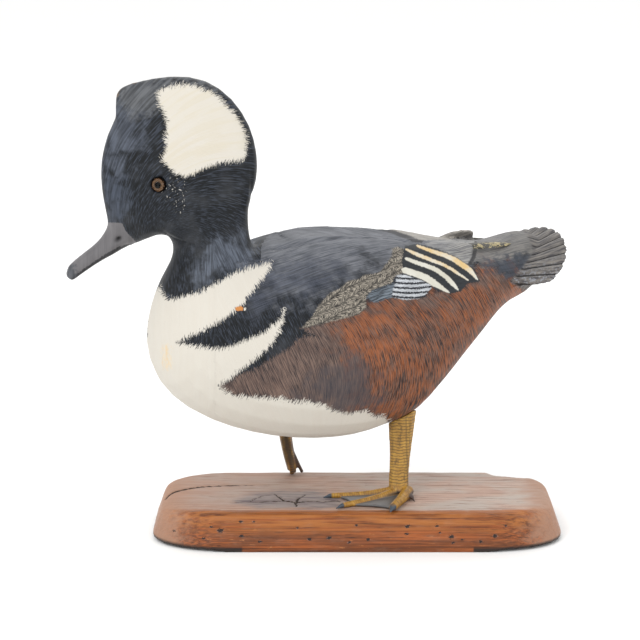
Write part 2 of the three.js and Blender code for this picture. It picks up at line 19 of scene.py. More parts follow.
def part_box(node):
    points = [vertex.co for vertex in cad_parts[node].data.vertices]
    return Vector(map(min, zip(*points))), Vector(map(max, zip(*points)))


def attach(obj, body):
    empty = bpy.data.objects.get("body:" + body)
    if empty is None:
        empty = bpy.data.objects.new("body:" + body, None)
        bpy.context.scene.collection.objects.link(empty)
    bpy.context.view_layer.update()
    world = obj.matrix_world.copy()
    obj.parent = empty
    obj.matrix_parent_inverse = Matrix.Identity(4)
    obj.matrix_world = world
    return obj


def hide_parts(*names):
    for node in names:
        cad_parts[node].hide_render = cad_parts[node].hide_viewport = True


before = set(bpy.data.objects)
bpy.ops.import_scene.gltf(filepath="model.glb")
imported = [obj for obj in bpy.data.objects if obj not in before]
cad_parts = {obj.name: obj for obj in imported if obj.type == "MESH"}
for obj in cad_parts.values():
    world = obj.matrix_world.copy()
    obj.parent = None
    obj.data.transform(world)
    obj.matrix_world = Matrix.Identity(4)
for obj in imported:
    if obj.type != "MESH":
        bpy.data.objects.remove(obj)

log = logging.getLogger("merganser")

MM = 0.001
# Corners of the CAD solid that are closer than this are one
WELD = 0.01 * MM

Point = tuple[float, float]


def linear(hex_colour: str) -> tuple[float, float, float, float]:
    """Turns an sRGB hex colour to linear light.

    Args:
        hex_colour: The colour as "#rrggbb".

    Returns:
        Red, green, blue and an alpha of 1.
    """
    channels = [int(hex_colour[i:i + 2], 16) / 255 for i in (1, 3, 5)]
    return tuple(c / 12.92 if c <= 0.04045 else ((c + 0.055) / 1.055) ** 2.4 for c in channels) + (1.0,)


Socket = bpy.types.NodeSocket

# The setting of a MapRange node that eases its start and end
SMOOTH = {"interpolation_type": "SMOOTHSTEP"}


class Coat:
    """A material under way, with what all the finishes share."""

    def __init__(self, name: str) -> None:
        """Starts the material.

        Args:
            name: Its name.
        """
        self.material = bpy.data.materials.new(name)
        self.material.use_nodes = True
        self.tree = self.material.node_tree
        self.shader = self.tree.nodes["Principled BSDF"]

    def add(
        self, kind: str, sockets: dict | tuple = (), output: int | str = 0, **settings: str | bool
    ) -> Socket:
        """Adds a node with its settings and its links.

        Args:
            kind: The node's type name without the leading "ShaderNode".
            sockets: Its inputs, by name or number or in order. A socket is linked, a hex colour is
                turned to linear and any other value is set.
            output: The output that is asked for.
            settings: Values of the node's own properties.

        Returns:
            The output.
        """
        node = self.tree.nodes.new("ShaderNode" + kind)
        for name, value in settings.items():
            setattr(node, name, value)
        for name, value in sockets.items() if isinstance(sockets, dict) else enumerate(sockets):
            self.connect(value, node.inputs[name])
        return node.outputs[output]

    def connect(self, value: Socket | float | str | tuple[float, ...], socket: Socket) -> None:
        """Links or sets an input.

        Args:
            value: A socket to link, or a value or a hex colour to set.
            socket: The input.
        """
        if isinstance(value, Socket):
            self.tree.links.new(value, socket)
        else:
            socket.default_value = linear(value) if isinstance(value, str) else value

    def parts(self, name: str) -> bpy.types.NodeOutputs:
        """Reads a row of three numbers that the mesh stores."""
        row = self.add("Attribute", (), "Vector", attribute_name=name)
        return self.add("SeparateXYZ", (row,)).node.outputs

    def noise(
        self, place: Socket, sizes: tuple[float, ...], seed: float, low: float, high: float, **inputs: float
    ) -> Socket:
        """Makes blotches or streaks.

        Args:
            place: The coordinates that they are laid out in.
            sizes: Their size along each coordinate.
            seed: A number that sets them apart from others.
            low: The noise that becomes 0.
            high: The noise that becomes 1.
            inputs: Inputs of the noise by name.

        Returns:
            A value from 0 to 1.
        """
        scale = [1 / size for size in sizes]
        scaled = self.add("VectorMath", (place, scale, (seed,) * 3), operation="MULTIPLY_ADD")
        fractal = self.add("TexNoise", {"Vector": scaled, "Scale": 1.0, **inputs})
        return self.add("MapRange", (fractal, low, high))

    def cloud(self, sizes: tuple[float, ...], low: float, high: float) -> Socket:
        """Makes blotches of the object, with a size along each of its axes in millimetres."""
        place = self.add("TexCoord", (), "Object")
        return self.noise(place, [size * MM for size in sizes], 0.0, low, high, Detail=3.0, Roughness=0.6)

    def lay(self, below: Socket | str, above: Socket | str, mask: Socket, share: float = 1.0) -> Socket:
        """Lays a colour over another.

        Args:
            below: The paint so far.
            above: The new colour.
            mask: Where it goes.
            share: How much it covers there.

        Returns:
            The paint with the new colour over it.
        """
        part = self.add("Math", (mask, share), operation="MULTIPLY")
        return self.add("Mix", {0: part, 6: below, 7: above}, 2, data_type="RGBA")

    def inside_line(self, parts: bpy.types.NodeOutputs) -> Socket:
        """Gives how far inside the edges of a line places are, from the offset and the half width."""
        away = self.add("Math", (parts[0],), operation="ABSOLUTE")
        return self.add("Math", (parts[2], away), operation="SUBTRACT")

    def finish(self, **inputs: Socket | float | str | tuple[float, ...]) -> bpy.types.Material:
        """Sets the shader's inputs, whose names are written in lower case with underlines.

        Args:
            inputs: What each input gets.

        Returns:
            The material.
        """
        names = {socket.name.lower().replace(" ", "_"): socket for socket in self.shader.inputs}
        for name, value in inputs.items():
            self.connect(value, names[name])
        return self.material


@dataclass(frozen=True)
class ReferenceView:
    """The view that the object is seen and its paint is laid out in: level along +Y, looking down."""

    elevation: float = math.radians(13)
    distance: float = 1.594
    target: tuple[float, float, float] = (-0.029, 0.0, 0.1684)
    lens: float = 115.0
    sensor: float = 36.0
    image: int = 640

    @property
    def forward(self) -> np.ndarray:
        """The direction in which the view looks."""
        return np.array([0.0, math.cos(self.elevation), -math.sin(self.elevation)])

    @property
    def up(self) -> np.ndarray:
        """The direction that is up in the image."""
        return np.array([0.0, math.sin(self.elevation), math.cos(self.elevation)])

    @property
    def eye(self) -> np.ndarray:
        """Where the view is taken from."""
        return np.array(self.target) - self.distance * self.forward

    @property
    def focal_pixels(self) -> float:
        """The focal length in pixels."""
        return self.image * self.lens / self.sensor

    @property
    def pixel(self) -> float:
        """The size of a pixel at the target, in millimetres."""
        return self.distance / self.focal_pixels / MM

    def project(self, places: np.ndarray) -> np.ndarray:
        """Finds where places show in the image.

        Args:
            places: Places in the model's frame, one row each.

        Returns:
            Their pixels, right and down from the upper left corner.
        """
        ray = places - self.eye
        depth = ray @ self.forward
        right = self.image / 2 + ray[:, 0] / depth * self.focal_pixels
        down = self.image / 2 - (ray @ self.up) / depth * self.focal_pixels
        return np.stack([right, down], 1)

    def make_camera(self) -> None:
        """Sets the scene's camera to this view."""
        data = bpy.data.cameras.new("reference_view")
        data.lens = self.lens
        data.sensor_width = self.sensor
        data.clip_end = 20.0
        camera = bpy.data.objects.new("reference_view", data)
        camera.location = self.eye
        camera.rotation_euler = (math.pi / 2 - self.elevation, 0.0, 0.0)
        bpy.context.scene.collection.objects.link(camera)
        bpy.context.scene.camera = camera


VIEW = ReferenceView()


def eased(values: np.ndarray) -> np.ndarray:
    """Eases values between 0 and 1 with a smooth start and end."""
    held = np.clip(values, 0, 1)
    return held * held * (3 - 2 * held)


@dataclass(frozen=True)
class BirdFrame:
    """The bird's own directions: aft, to its right and up from where it stands over the board."""

    stand: float = 16 * MM
    turn: float = math.radians(18)
    neck_aft: float = -118 * MM
    head_turn: float = math.radians(-22)

    def to_bird(self, places: np.ndarray) -> np.ndarray:
        """Turns places from the model's frame to the bird's.

        Args:
            places: Places in the model's frame, one row each.

        Returns:
            Aft, right and up for each.
        """
        x, y = places[:, 0], places[:, 1] - self.stand
        cos, sin = math.cos(self.turn), math.sin(self.turn)
        return np.stack([x * cos + y * sin, y * cos - x * sin, places[:, 2]], 1)

    def from_bird(self, places: np.ndarray) -> np.ndarray:
        """Turns places from the bird's frame to the model's.

        Args:
            places: Aft, right and up, one row each.

        Returns:
            Places in the model's frame.
        """
        aft, right = places[:, 0], places[:, 1]
        cos, sin = math.cos(self.turn), math.sin(self.turn)
        return np.stack([aft * cos - right * sin, self.stand + aft * sin + right * cos, places[:, 2]], 1)

    def turned(self, places: np.ndarray, angle: np.ndarray) -> np.ndarray:
        """Turns places about the upright axis through the neck.

        Args:
            places: Places in the bird's frame.
            angle: How far each place turns.

        Returns:
            The turned places.
        """
        aft, right = places[:, 0] - self.neck_aft, places[:, 1]
        cos, sin = np.cos(angle), np.sin(angle)
        return np.stack([self.neck_aft + aft * cos - right * sin, aft * sin + right * cos, places[:, 2]], 1)

    def head_share(self, places: np.ndarray) -> np.ndarray:
        """Gives the share of the head's turn at places, from 0 on the body to 1 on the head.

        Args:
            places: Places in the bird's frame.

        Returns:
            The share at each place.
        """
        aft, up = places[:, 0] / MM, places[:, 2] / MM
        neck = eased((up + 0.35 * (aft + 118) - 196) / 52) * (aft < -60)
        bill = eased((-160 - aft) / 8) * eased((up - 186) / 8)
        return np.maximum(neck, bill)

    def near_pixels(self, places: np.ndarray) -> np.ndarray:
        """Finds the pixels of the reference view that the paint of places is laid out in.

        Args:
            places: Places in the model's frame.

        Returns:
            Pixels: a place's own on the near side, and its mirror image's on the far side.
        """
        bird = self.to_bird(places)
        angle = self.head_share(bird) * self.head_turn
        straight = self.turned(bird, -angle)
        straight[:, 1] = -np.abs(straight[:, 1])
        return VIEW.project(self.from_bird(self.turned(straight, angle)))


BIRD = BirdFrame()


@dataclass(frozen=True)
class Outline:
    """A line or an area's edge, smooth through its points.

    The points are pixels of the reference view, or millimetres where the unit is 1.
    """

    points: tuple[Point, ...]
    closed: bool = True
    smooth: bool = True
    widths: tuple[float, ...] = ()
    samples: int = 4
    unit: float = VIEW.pixel

    def curve(self) -> tuple[np.ndarray, np.ndarray]:
        """Samples the line.

        Returns:
            Points along it, with the first again at the end of a closed one, and the half width at each.
        """
        points = np.array(self.points, float)
        widths = np.array(self.widths or (0.0,) * len(points))
        rows = np.column_stack([points, widths])
        if self.closed:
            padded = np.vstack([rows[-1:], rows, rows[:2]])
        else:
            padded = np.vstack([rows[:1], rows, rows[-1:]])
        shares = np.arange(self.samples) / self.samples
        parts = []
        for i in range(len(padded) - 3):
            p0, p1, p2, p3 = padded[i:i + 4]
            u = shares[:, None]
            bend = (2 * p0 - 5 * p1 + 4 * p2 - p3) * u + (3 * (p1 - p2) + p3 - p0) * u * u
            curved = p1 + 0.5 * u * (p2 - p0 + bend)
            parts.append(curved if self.smooth else p1 + u * (p2 - p1))
        line = np.vstack(parts + [padded[-2:-1]])
        return line[:, :2], line[:, 2]

    def measure(self, places: np.ndarray) -> tuple[np.ndarray, np.ndarray, np.ndarray]:
        """Measures places against the line.

        Args:
            places: Places in the line's own units, one row each.

        Returns:
            In millimetres, the distance from the line, which is positive inside a closed line and to
            the right of an open one, how far along the line the nearest point is, and the line's half
            width there, which goes below nothing past the ends of an open line.
        """
        line, widths = self.curve()
        best = np.full(len(places), np.inf)
        lateral, run, width = np.zeros((3, len(places)))
        inside = np.zeros(len(places), bool)
        length = 0.0
        last = len(line) - 2
        for i, (a, b, wa, wb) in enumerate(zip(line[:-1], line[1:], widths[:-1], widths[1:])):
            step = b - a
            size = max(float(np.hypot(*step)), 1e-9)
            offset = places - a
            raw = offset @ step / size**2
            share = np.clip(raw, 0, 1)
            away = np.hypot(*(offset - share[:, None] * step).T)
            cross = (step[0] * offset[:, 1] - step[1] * offset[:, 0]) / size
            past = np.maximum(-raw * (i == 0), (raw - 1) * (i == last)) * size * (not self.closed)
            past = np.maximum(past, 0)
            sideways = np.where(past > 0, cross, np.copysign(away, cross))
            nearer = away < best
            best = np.where(nearer, away, best)
            lateral = np.where(nearer, sideways, lateral)
            run = np.where(nearer, length + share * size, run)
            width = np.where(nearer, wa + share * (wb - wa) - past, width)
            crosses = (a[1] > places[:, 1]) != (b[1] > places[:, 1])
            rise = step[1] if abs(step[1]) > 1e-9 else 1e-9
            inside ^= crosses & (offset[:, 0] < (places[:, 1] - a[1]) * step[0] / rise)
            length += size
        distance = np.where(inside, best, -best) if self.closed else lateral
        return distance * self.unit, run * self.unit, width * self.unit


class Surface:
    """A fine mesh over the solid of a CAD node, whose vertices are moved and given paint values."""

    def __init__(
        self, node: str, name: str, voxel: float, filler: tuple[Vector, Vector] | None = None
    ) -> None:
        """Covers a node's solid with small even faces.

        Args:
            node: The CAD node.
            name: The new piece's name.
            voxel: The size of the faces, in metres.
            filler: Opposite corners of a box that is joined on, in metres.
        """
        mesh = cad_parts[node].data.copy()
        work = bmesh.new()
        work.from_mesh(mesh)
        bmesh.ops.remove_doubles(work, verts=work.verts, dist=WELD)
        if filler:
            size = Matrix.Diagonal((*(filler[1] - filler[0]), 1.0))
            place = Matrix.Translation((filler[0] + filler[1]) / 2)
            bmesh.ops.create_cube(work, size=1.0, matrix=place @ size)
        work.to_mesh(mesh)
        work.free()
        mesh.materials.clear()
        self.node = node
        self.piece = bpy.data.objects.new(name, mesh)
        bpy.context.scene.collection.objects.link(self.piece)
        even = self.piece.modifiers.new("even", "REMESH")
        even.mode = "VOXEL"
        even.voxel_size = voxel
        even.use_smooth_shade = True
        evaluated = self.piece.evaluated_get(bpy.context.evaluated_depsgraph_get())
        dense = bpy.data.meshes.new_from_object(evaluated)
        self.piece.modifiers.clear()
        self.piece.data = dense
        dense.name = name
        edges = np.zeros(len(dense.edges) * 2, np.int32)
        dense.edges.foreach_get("vertices", edges)
        self.edges = edges.reshape(-1, 2)
        self.low, self.high = (np.array(corner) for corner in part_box(node))

    def rows(self, name: str) -> np.ndarray:
        """Reads three numbers of each vertex.

        Args:
            name: What is read, such as "co" for the places.

        Returns:
            The numbers, one row each.
        """
        values = np.zeros(len(self.piece.data.vertices) * 3)
        self.piece.data.vertices.foreach_get(name, values)
        return values.reshape(-1, 3)

    @property
    def places(self) -> np.ndarray:
        """The vertices' places, one row each."""
        return self.rows("co")

    @property
    def normals(self) -> np.ndarray:
        """The vertices' normals, one row each."""
        return self.rows("normal")

    def set_places(self, places: np.ndarray) -> None:
        """Moves the vertices, and holds them inside the solid's box.

        Args:
            places: The new places, one row each.
        """
        held = np.clip(places, self.low, self.high)
        self.piece.data.vertices.foreach_set("co", held.ravel())
        self.piece.data.update()

    def neighbours_mean(self, values: np.ndarray) -> np.ndarray:
        """Averages a value over each vertex's neighbours.

        Args:
            values: A row for each vertex.

        Returns:
            The mean of the neighbours' rows.
        """
        count = np.bincount(self.edges.ravel(), minlength=len(values))
        one, other = self.edges.T
        columns = [
            np.bincount(one, column[other], len(values)) + np.bincount(other, column[one], len(values))
            for column in values.T
        ]
        return np.stack(columns, 1) / np.maximum(count, 1)[:, None]

    def smooth(self, rounds: int, share: np.ndarray | float = 1.0) -> None:
        """Takes the facets of the solid away and keeps its volume.

        Args:
            rounds: How often each vertex moves to the middle of its neighbours and back out.
            share: The share of the move that each vertex makes.
        """
        places = self.places
        weight = np.broadcast_to(np.asarray(share, float), len(places))[:, None]
        for _ in range(rounds):
            for step in (0.6, -0.61):
                places = places + step * weight * (self.neighbours_mean(places) - places)
        self.set_places(places)

    def raise_by(self, height: np.ndarray) -> None:
        """Moves the vertices out along their normals.

        Args:
            height: How far each vertex moves, in millimetres.
        """
        self.set_places(self.places + self.normals * (height * MM)[:, None])

    def store(self, name: str, values: np.ndarray) -> None:
        """Stores a value for each vertex that a material reads.

        Args:
            name: The attribute's name.
            values: One number or a row of three for each vertex.
        """
        kind, part = ("FLOAT", "value") if values.ndim == 1 else ("FLOAT_VECTOR", "vector")
        layer = self.piece.data.attributes.new(name, kind, "POINT")
        layer.data.foreach_set(part, values.astype(np.float32).ravel())

    def finish(
        self, slot: str, materials: list[bpy.types.Material], regions: np.ndarray | None = None
    ) -> None:
        """Gives the piece its materials and puts it in the place of its node.

        Args:
            slot: The record's material slot, which is not used.
            materials: The materials.
            regions: The number of each vertex's material, where there are several.
        """
        for material in materials:
            self.piece.data.materials.append(material)
        if regions is not None:
            first = np.zeros(len(self.piece.data.polygons), np.int32)
            self.piece.data.polygons.foreach_get("loop_start", first)
            corners = np.zeros(len(self.piece.data.loops), np.int32)
            self.piece.data.loops.foreach_get("vertex_index", corners)
            self.piece.data.polygons.foreach_set("material_index", regions[corners[first]].astype(np.int32))
        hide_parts(self.node)
        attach(self.piece, "root")
        log.info("%s: %d faces", self.piece.name, len(self.piece.data.polygons))


@dataclass(frozen=True)
class Crease:
    """A carved line, with one side standing proud of the other and a groove between them.

    The proud side is on the left of the line's direction as the image shows it. All sizes are in
    millimetres.
    """

    line: Outline
    step: float = 0.0
    fall: float = 8.0
    groove: float = 0.8
    half: float = 1.2
    fade: float = 6.0

    def height(self, pixels: np.ndarray) -> np.ndarray:
        """Gives the height of the crease at places.

        Args:
            pixels: Pixels of the reference view, one row each.

        Returns:
            The height at each place, in millimetres.
        """
        distance, run, _ = self.line.measure(pixels)
        away = np.abs(distance)
        ends = eased(np.minimum(run, run.max() - run) / self.fade)
        proud = self.step * (distance < 0) * np.exp(-away / self.fall)
        return ends * (proud - self.groove * np.exp(-(away / self.half) ** 2))


@dataclass(frozen=True)
class Fan:
    """The tail's fan of feathers, in the bird's frame and in millimetres."""

    root: tuple[float, float, float] = (90, -7.5, 184.6)
    pitch: float = math.radians(29.6)
    roll: float = math.radians(10.5)
    swing: float = math.radians(-7.9)
    spread: tuple[float, float] = (math.radians(-45), math.radians(53))
    feathers: int = 12

    def measure(self, bird: np.ndarray) -> tuple[np.ndarray, np.ndarray]:
        """Finds places on the fan.

        Args:
            bird: Places in the bird's frame, in metres.

        Returns:
            How far each place is from the fan's root in millimetres, and its number of feathers from
            the fan's left edge.
        """
        turn = Matrix.Rotation(self.swing, 3, "Z") @ Matrix.Rotation(-self.pitch, 3, "Y")
        turn = turn @ Matrix.Rotation(self.roll, 3, "X")
        flat = (bird / MM - np.array(self.root)) @ np.array(turn)
        reach = np.hypot(flat[:, 0], flat[:, 1])
        angle = np.arctan2(flat[:, 1], flat[:, 0])
        return reach, (angle - self.spread[0]) / (self.spread[1] - self.spread[0]) * self.feathers

    def gap(self, reach: np.ndarray, feather: np.ndarray) -> np.ndarray:
        """Gives the distance from places to the nearest line between two feathers.

        Args:
            reach: How far each place is from the root.
            feather: Its number of feathers from the left edge.

        Returns:
            The distance in millimetres.
        """
        width = reach * (self.spread[1] - self.spread[0]) / self.feathers
        return np.abs(feather - np.round(feather)) * width


class BirdRelief:
    """The carving on the bird: its edges, creases, nostrils and the feathers of its tail."""

    fan = Fan()
    coverts_edge = Outline(
        ((509, 281), (520, 269.4), (527.5, 259.4), (532.8, 250.6), (528.3, 238.9), (523, 231), (516, 222)),
        closed=False,
    )
    fan_foot = Outline(((498, 275.5), (511, 282), (524, 290), (545, 300)), closed=False, smooth=False)
    creases = (
        # The rear rim of the crest, below which its rear face turns in
        Crease(
            Outline(((243, 128), (247.7, 143), (250.5, 160), (251.5, 180), (251, 202)), closed=False),
            groove=0.7, half=1.3,
        ),
        # The cheek, which overlaps the neck
        Crease(
            Outline(((162, 229), (170, 235), (184, 241.5), (197, 246), (210, 249)), closed=False), step=2.1,
            fall=7, groove=1.5, half=1.5, fade=8,
        ),
        # The face, which stands proud of the bill's root
        Crease(
            Outline(((109, 222.5), (122, 223), (125, 230), (130, 236), (137, 243)), closed=False), step=0.7,
            fall=5, groove=0.5, half=1.2, fade=2,
        ),
        # The gape between the two halves of the bill
        Crease(
            Outline(((131, 244), (118, 247.5), (105, 254), (92, 263), (80, 272), (72, 278)), closed=False),
            groove=0.6, half=1.2, fade=2,
        ),
        # The crest line of the shoulder feathers, with a hollow behind it
        Crease(
            Outline(((268, 250), (280, 249), (314, 242.3), (342.5, 238), (369, 237), (393, 238.3),
            (412, 243)), closed=False), step=-1.7, fall=5, groove=0.8, half=1.6,
        ),
        # The rear edge of the uppermost wing feather
        Crease(
            Outline(((467, 265), (471, 257), (473, 247), (474, 238)), closed=False), step=1.1, fall=5,
            groove=0.5, half=1.0, fade=4,
        ),
        # The lower edges of the wing feathers over the flank
        Crease(
            Outline(((482, 283), (468, 284), (459, 292), (450, 295), (432, 290), (421, 299.5), (404, 300.5),
            (391, 298), (373, 304), (366, 309), (358, 315.5), (330, 322.5), (300, 329)), closed=False),
            step=0.6, fall=4, groove=0.35, half=1.0,
        ),
        # The front edge of the coverts
        Crease(
            Outline(((311, 318), (317, 305.7), (329, 292.5), (340, 287.5), (348, 280.5), (360, 277),
            (373.8, 272.5), (381, 270), (387, 262), (391.5, 255), (393, 247)), closed=False), step=-0.45,
            fall=4, groove=0.0,
        ),
    )
    nostril = (118.0, 239.2)
    nostril_half = (3.6, 2.5)
    nostril_tilt = math.radians(-32)
    nostril_depth = 1.8

    def height(self, pixels: np.ndarray, bird: np.ndarray) -> np.ndarray:
        """Gives the height of the carving at places.

        Args:
            pixels: The places' pixels in the reference view.
            bird: The places in the bird's frame.

        Returns:
            The height at each place, in millimetres.
        """
        height = sum(crease.height(pixels) for crease in self.creases)
        reach, feather = self.fan.measure(bird)
        gap = self.fan.gap(reach, feather)
        shows = self.fan_share(pixels, bird)
        step = 0.3 * (feather - np.floor(feather) - 0.5)
        grooves = shows * (step - 0.75 * np.exp(-((gap / 0.9) ** 2)))
        return height - self.nostril_depth * self.nostril_share(pixels) + grooves

    def nostril_share(self, pixels: np.ndarray) -> np.ndarray:
        """Gives how deep in a nostril places are.

        Args:
            pixels: The places' pixels in the reference view.

        Returns:
            The share of the depth at each place, from 0 outside to 1 in the middle.
        """
        offset = pixels - np.array(self.nostril)
        cos, sin = math.cos(self.nostril_tilt), math.sin(self.nostril_tilt)
        along = (offset[:, 0] * cos + offset[:, 1] * sin) / self.nostril_half[0]
        across = (offset[:, 1] * cos - offset[:, 0] * sin) / self.nostril_half[1]
        return np.exp(-((along**2 + across**2) ** 1.5))

    def fan_share(self, pixels: np.ndarray, bird: np.ndarray) -> np.ndarray:
        """Gives how much of the fan shows at places.

        Args:
            pixels: The places' pixels in the reference view.
            bird: The places in the bird's frame.

        Returns:
            The share at each place, from 0 under the coverts to 1 past their edge.
        """
        past, _, _ = self.coverts_edge.measure(pixels)
        below, _, _ = self.fan_foot.measure(pixels)
        return eased(past / 2.5 + 0.3) * eased(0.5 - below / 2.0) * (bird[:, 0] > 100 * MM)


class Flow(Enum):
    """The ways in which the brush followed the feathers, each a stored pair of coordinates."""

    HEAD = "flow_head"
    SIDE = "flow_side"
    BACK = "flow_back"

    def measure(self, pixels: np.ndarray, bird: np.ndarray) -> np.ndarray:
        """Finds places along and across the brush strokes.

        Args:
            pixels: The places' pixels in the reference view.
            bird: The places in the bird's frame.

        Returns:
            Millimetres along and across the strokes, and a nought.
        """
        if self is Flow.HEAD:
            # Strokes wind out from the neck and bend over backwards
            centre, twist, middle = np.array((172.0, 250.0)), 1.35, 70.0
            offset = pixels - centre
            reach = np.log(np.maximum(np.hypot(*offset.T), 6) / middle)
            angle = np.arctan2(offset[:, 0], -offset[:, 1])
            scale = middle * VIEW.pixel / math.hypot(1, twist)
            along, across = (reach + twist * angle) * scale, (angle - twist * reach) * scale
        elif self is Flow.SIDE:
            # Strokes hang down. They lean backwards on the flank, and bend forwards again below it
            down = pixels[:, 1] - 310
            rear = eased((pixels[:, 0] - 285) / 70)
            past = eased((pixels[:, 0] - 420) / 60)
            lean = (1 - rear) * 0.45 + rear * (0.9 - 0.0068 * down) * (1 - 0.5 * past)
            across = (pixels[:, 0] - lean * down * (pixels[:, 0] > 215)) * VIEW.pixel
            along = down * VIEW.pixel * 1.15
        else:
            along = bird[:, 0] / MM + 0.3 * bird[:, 2] / MM
            across = bird[:, 2] / MM - 0.3 * bird[:, 0] / MM - np.abs(bird[:, 1]) / MM
        return np.stack([along, across, np.zeros(len(along))], 1)


class Edge(Enum):
    """How a painted area ends."""

    SOFT = "soft"
    HAIRY = "hairy"
    CLEAN = "clean"


class Region(Enum):
    """The regions of the bird, each with a material of its own."""

    HEAD = "head"
    BREAST = "breast"
    FLANK = "flank"
    WING = "wing"
    REAR = "rear"


SOFT, HAIRY, CLEAN = Edge
HEAD, BREAST, FLANK, WING, REAR = Region


@dataclass(frozen=True)
class PaintArea:
    """One colour brushed over an area of the bird. Sizes are in millimetres.

    Glints are the colour of a second kind of strokes. Flecks are the size of the spots that the area
    is broken up into. A direct area lies where the reference view shows it, on both sides of the bird.
    """

    name: str
    outline: Outline
    colour: str
    strokes: str
    flow: Flow = Flow.SIDE
    edge: Edge = HAIRY
    fringe: float = 2.2
    lean: float = 0.0
    cover: float = 1.0
    stroke_share: float = 0.5
    stroke_width: float = 1.1
    roughness: float = 0.55
    regions: tuple[Region, ...] = (BREAST,)
    glints: str = ""
    glint_share: float = 0.5
    flecks: float = 0.0
    direct: bool = False


# The lower edge of the black neck, from the throat to the shoulder
NECK_EDGE = (
    (158.7, 284.5), (161, 292), (168.7, 299), (178.3, 298), (187.8, 295), (201, 292), (210.8, 285.5),
    (221.3, 280.7), (231.9, 274), (243.3, 270.2), (257.7, 265.4), (271, 262.3),
)
# The shoulder's edge down to the point of the first bar on the breast
FIRST_BAR_TOP = (
    (271.3, 265.7), (265.9, 274.6), (256, 287), (247, 298), (242.7, 304), (229.3, 315.7), (216.8, 323),
    (203.4, 331), (190, 336.3), (175.4, 343),
)
FIRST_BAR_FOOT = (
    (187.8, 344.8), (201, 346.7), (216.6, 348.7), (231, 346.7), (241, 342), (259.5, 334.7), (270.6, 327.3),
    (280, 320), (284.5, 309),
)
SECOND_BAR_TOP = (
    (283, 322), (279, 333), (270.6, 346), (256, 359), (241, 370), (230, 379), (219.5, 385.6),
)
FLANK_FOOT = (
    (222, 389), (235.7, 396), (253.6, 397), (269.6, 398), (280.4, 398), (293.8, 401.4), (307, 401),
    (325, 406), (334, 410.4), (345.4, 414), (356, 412), (366.8, 410.4), (374.8, 416.6), (383, 415.7),
    (390, 422),
)
FLANK_TOP = (
    (219.6, 385.8), (231, 380), (243, 373.8), (257, 368.4), (266, 362), (277.7, 355), (289.3, 348.8),
    (298, 339), (314, 335.4),
)
COVERTS_FOOT = ((301.4, 328), (330, 322), (358.6, 314.8), (366, 308.4), (373.8, 303), (391.6, 298))
COVERTS_TOP = (
    (313, 315.5), (318.4, 305.7), (330, 293), (340.7, 288), (348.8, 280.7), (360.4, 279), (363, 275.4),
    (373.8, 273.6), (381, 271), (387, 263), (391.6, 255.7), (392.5, 248.6),
)
WHITE = "#cac5bb"
BLACK = "#15181c"

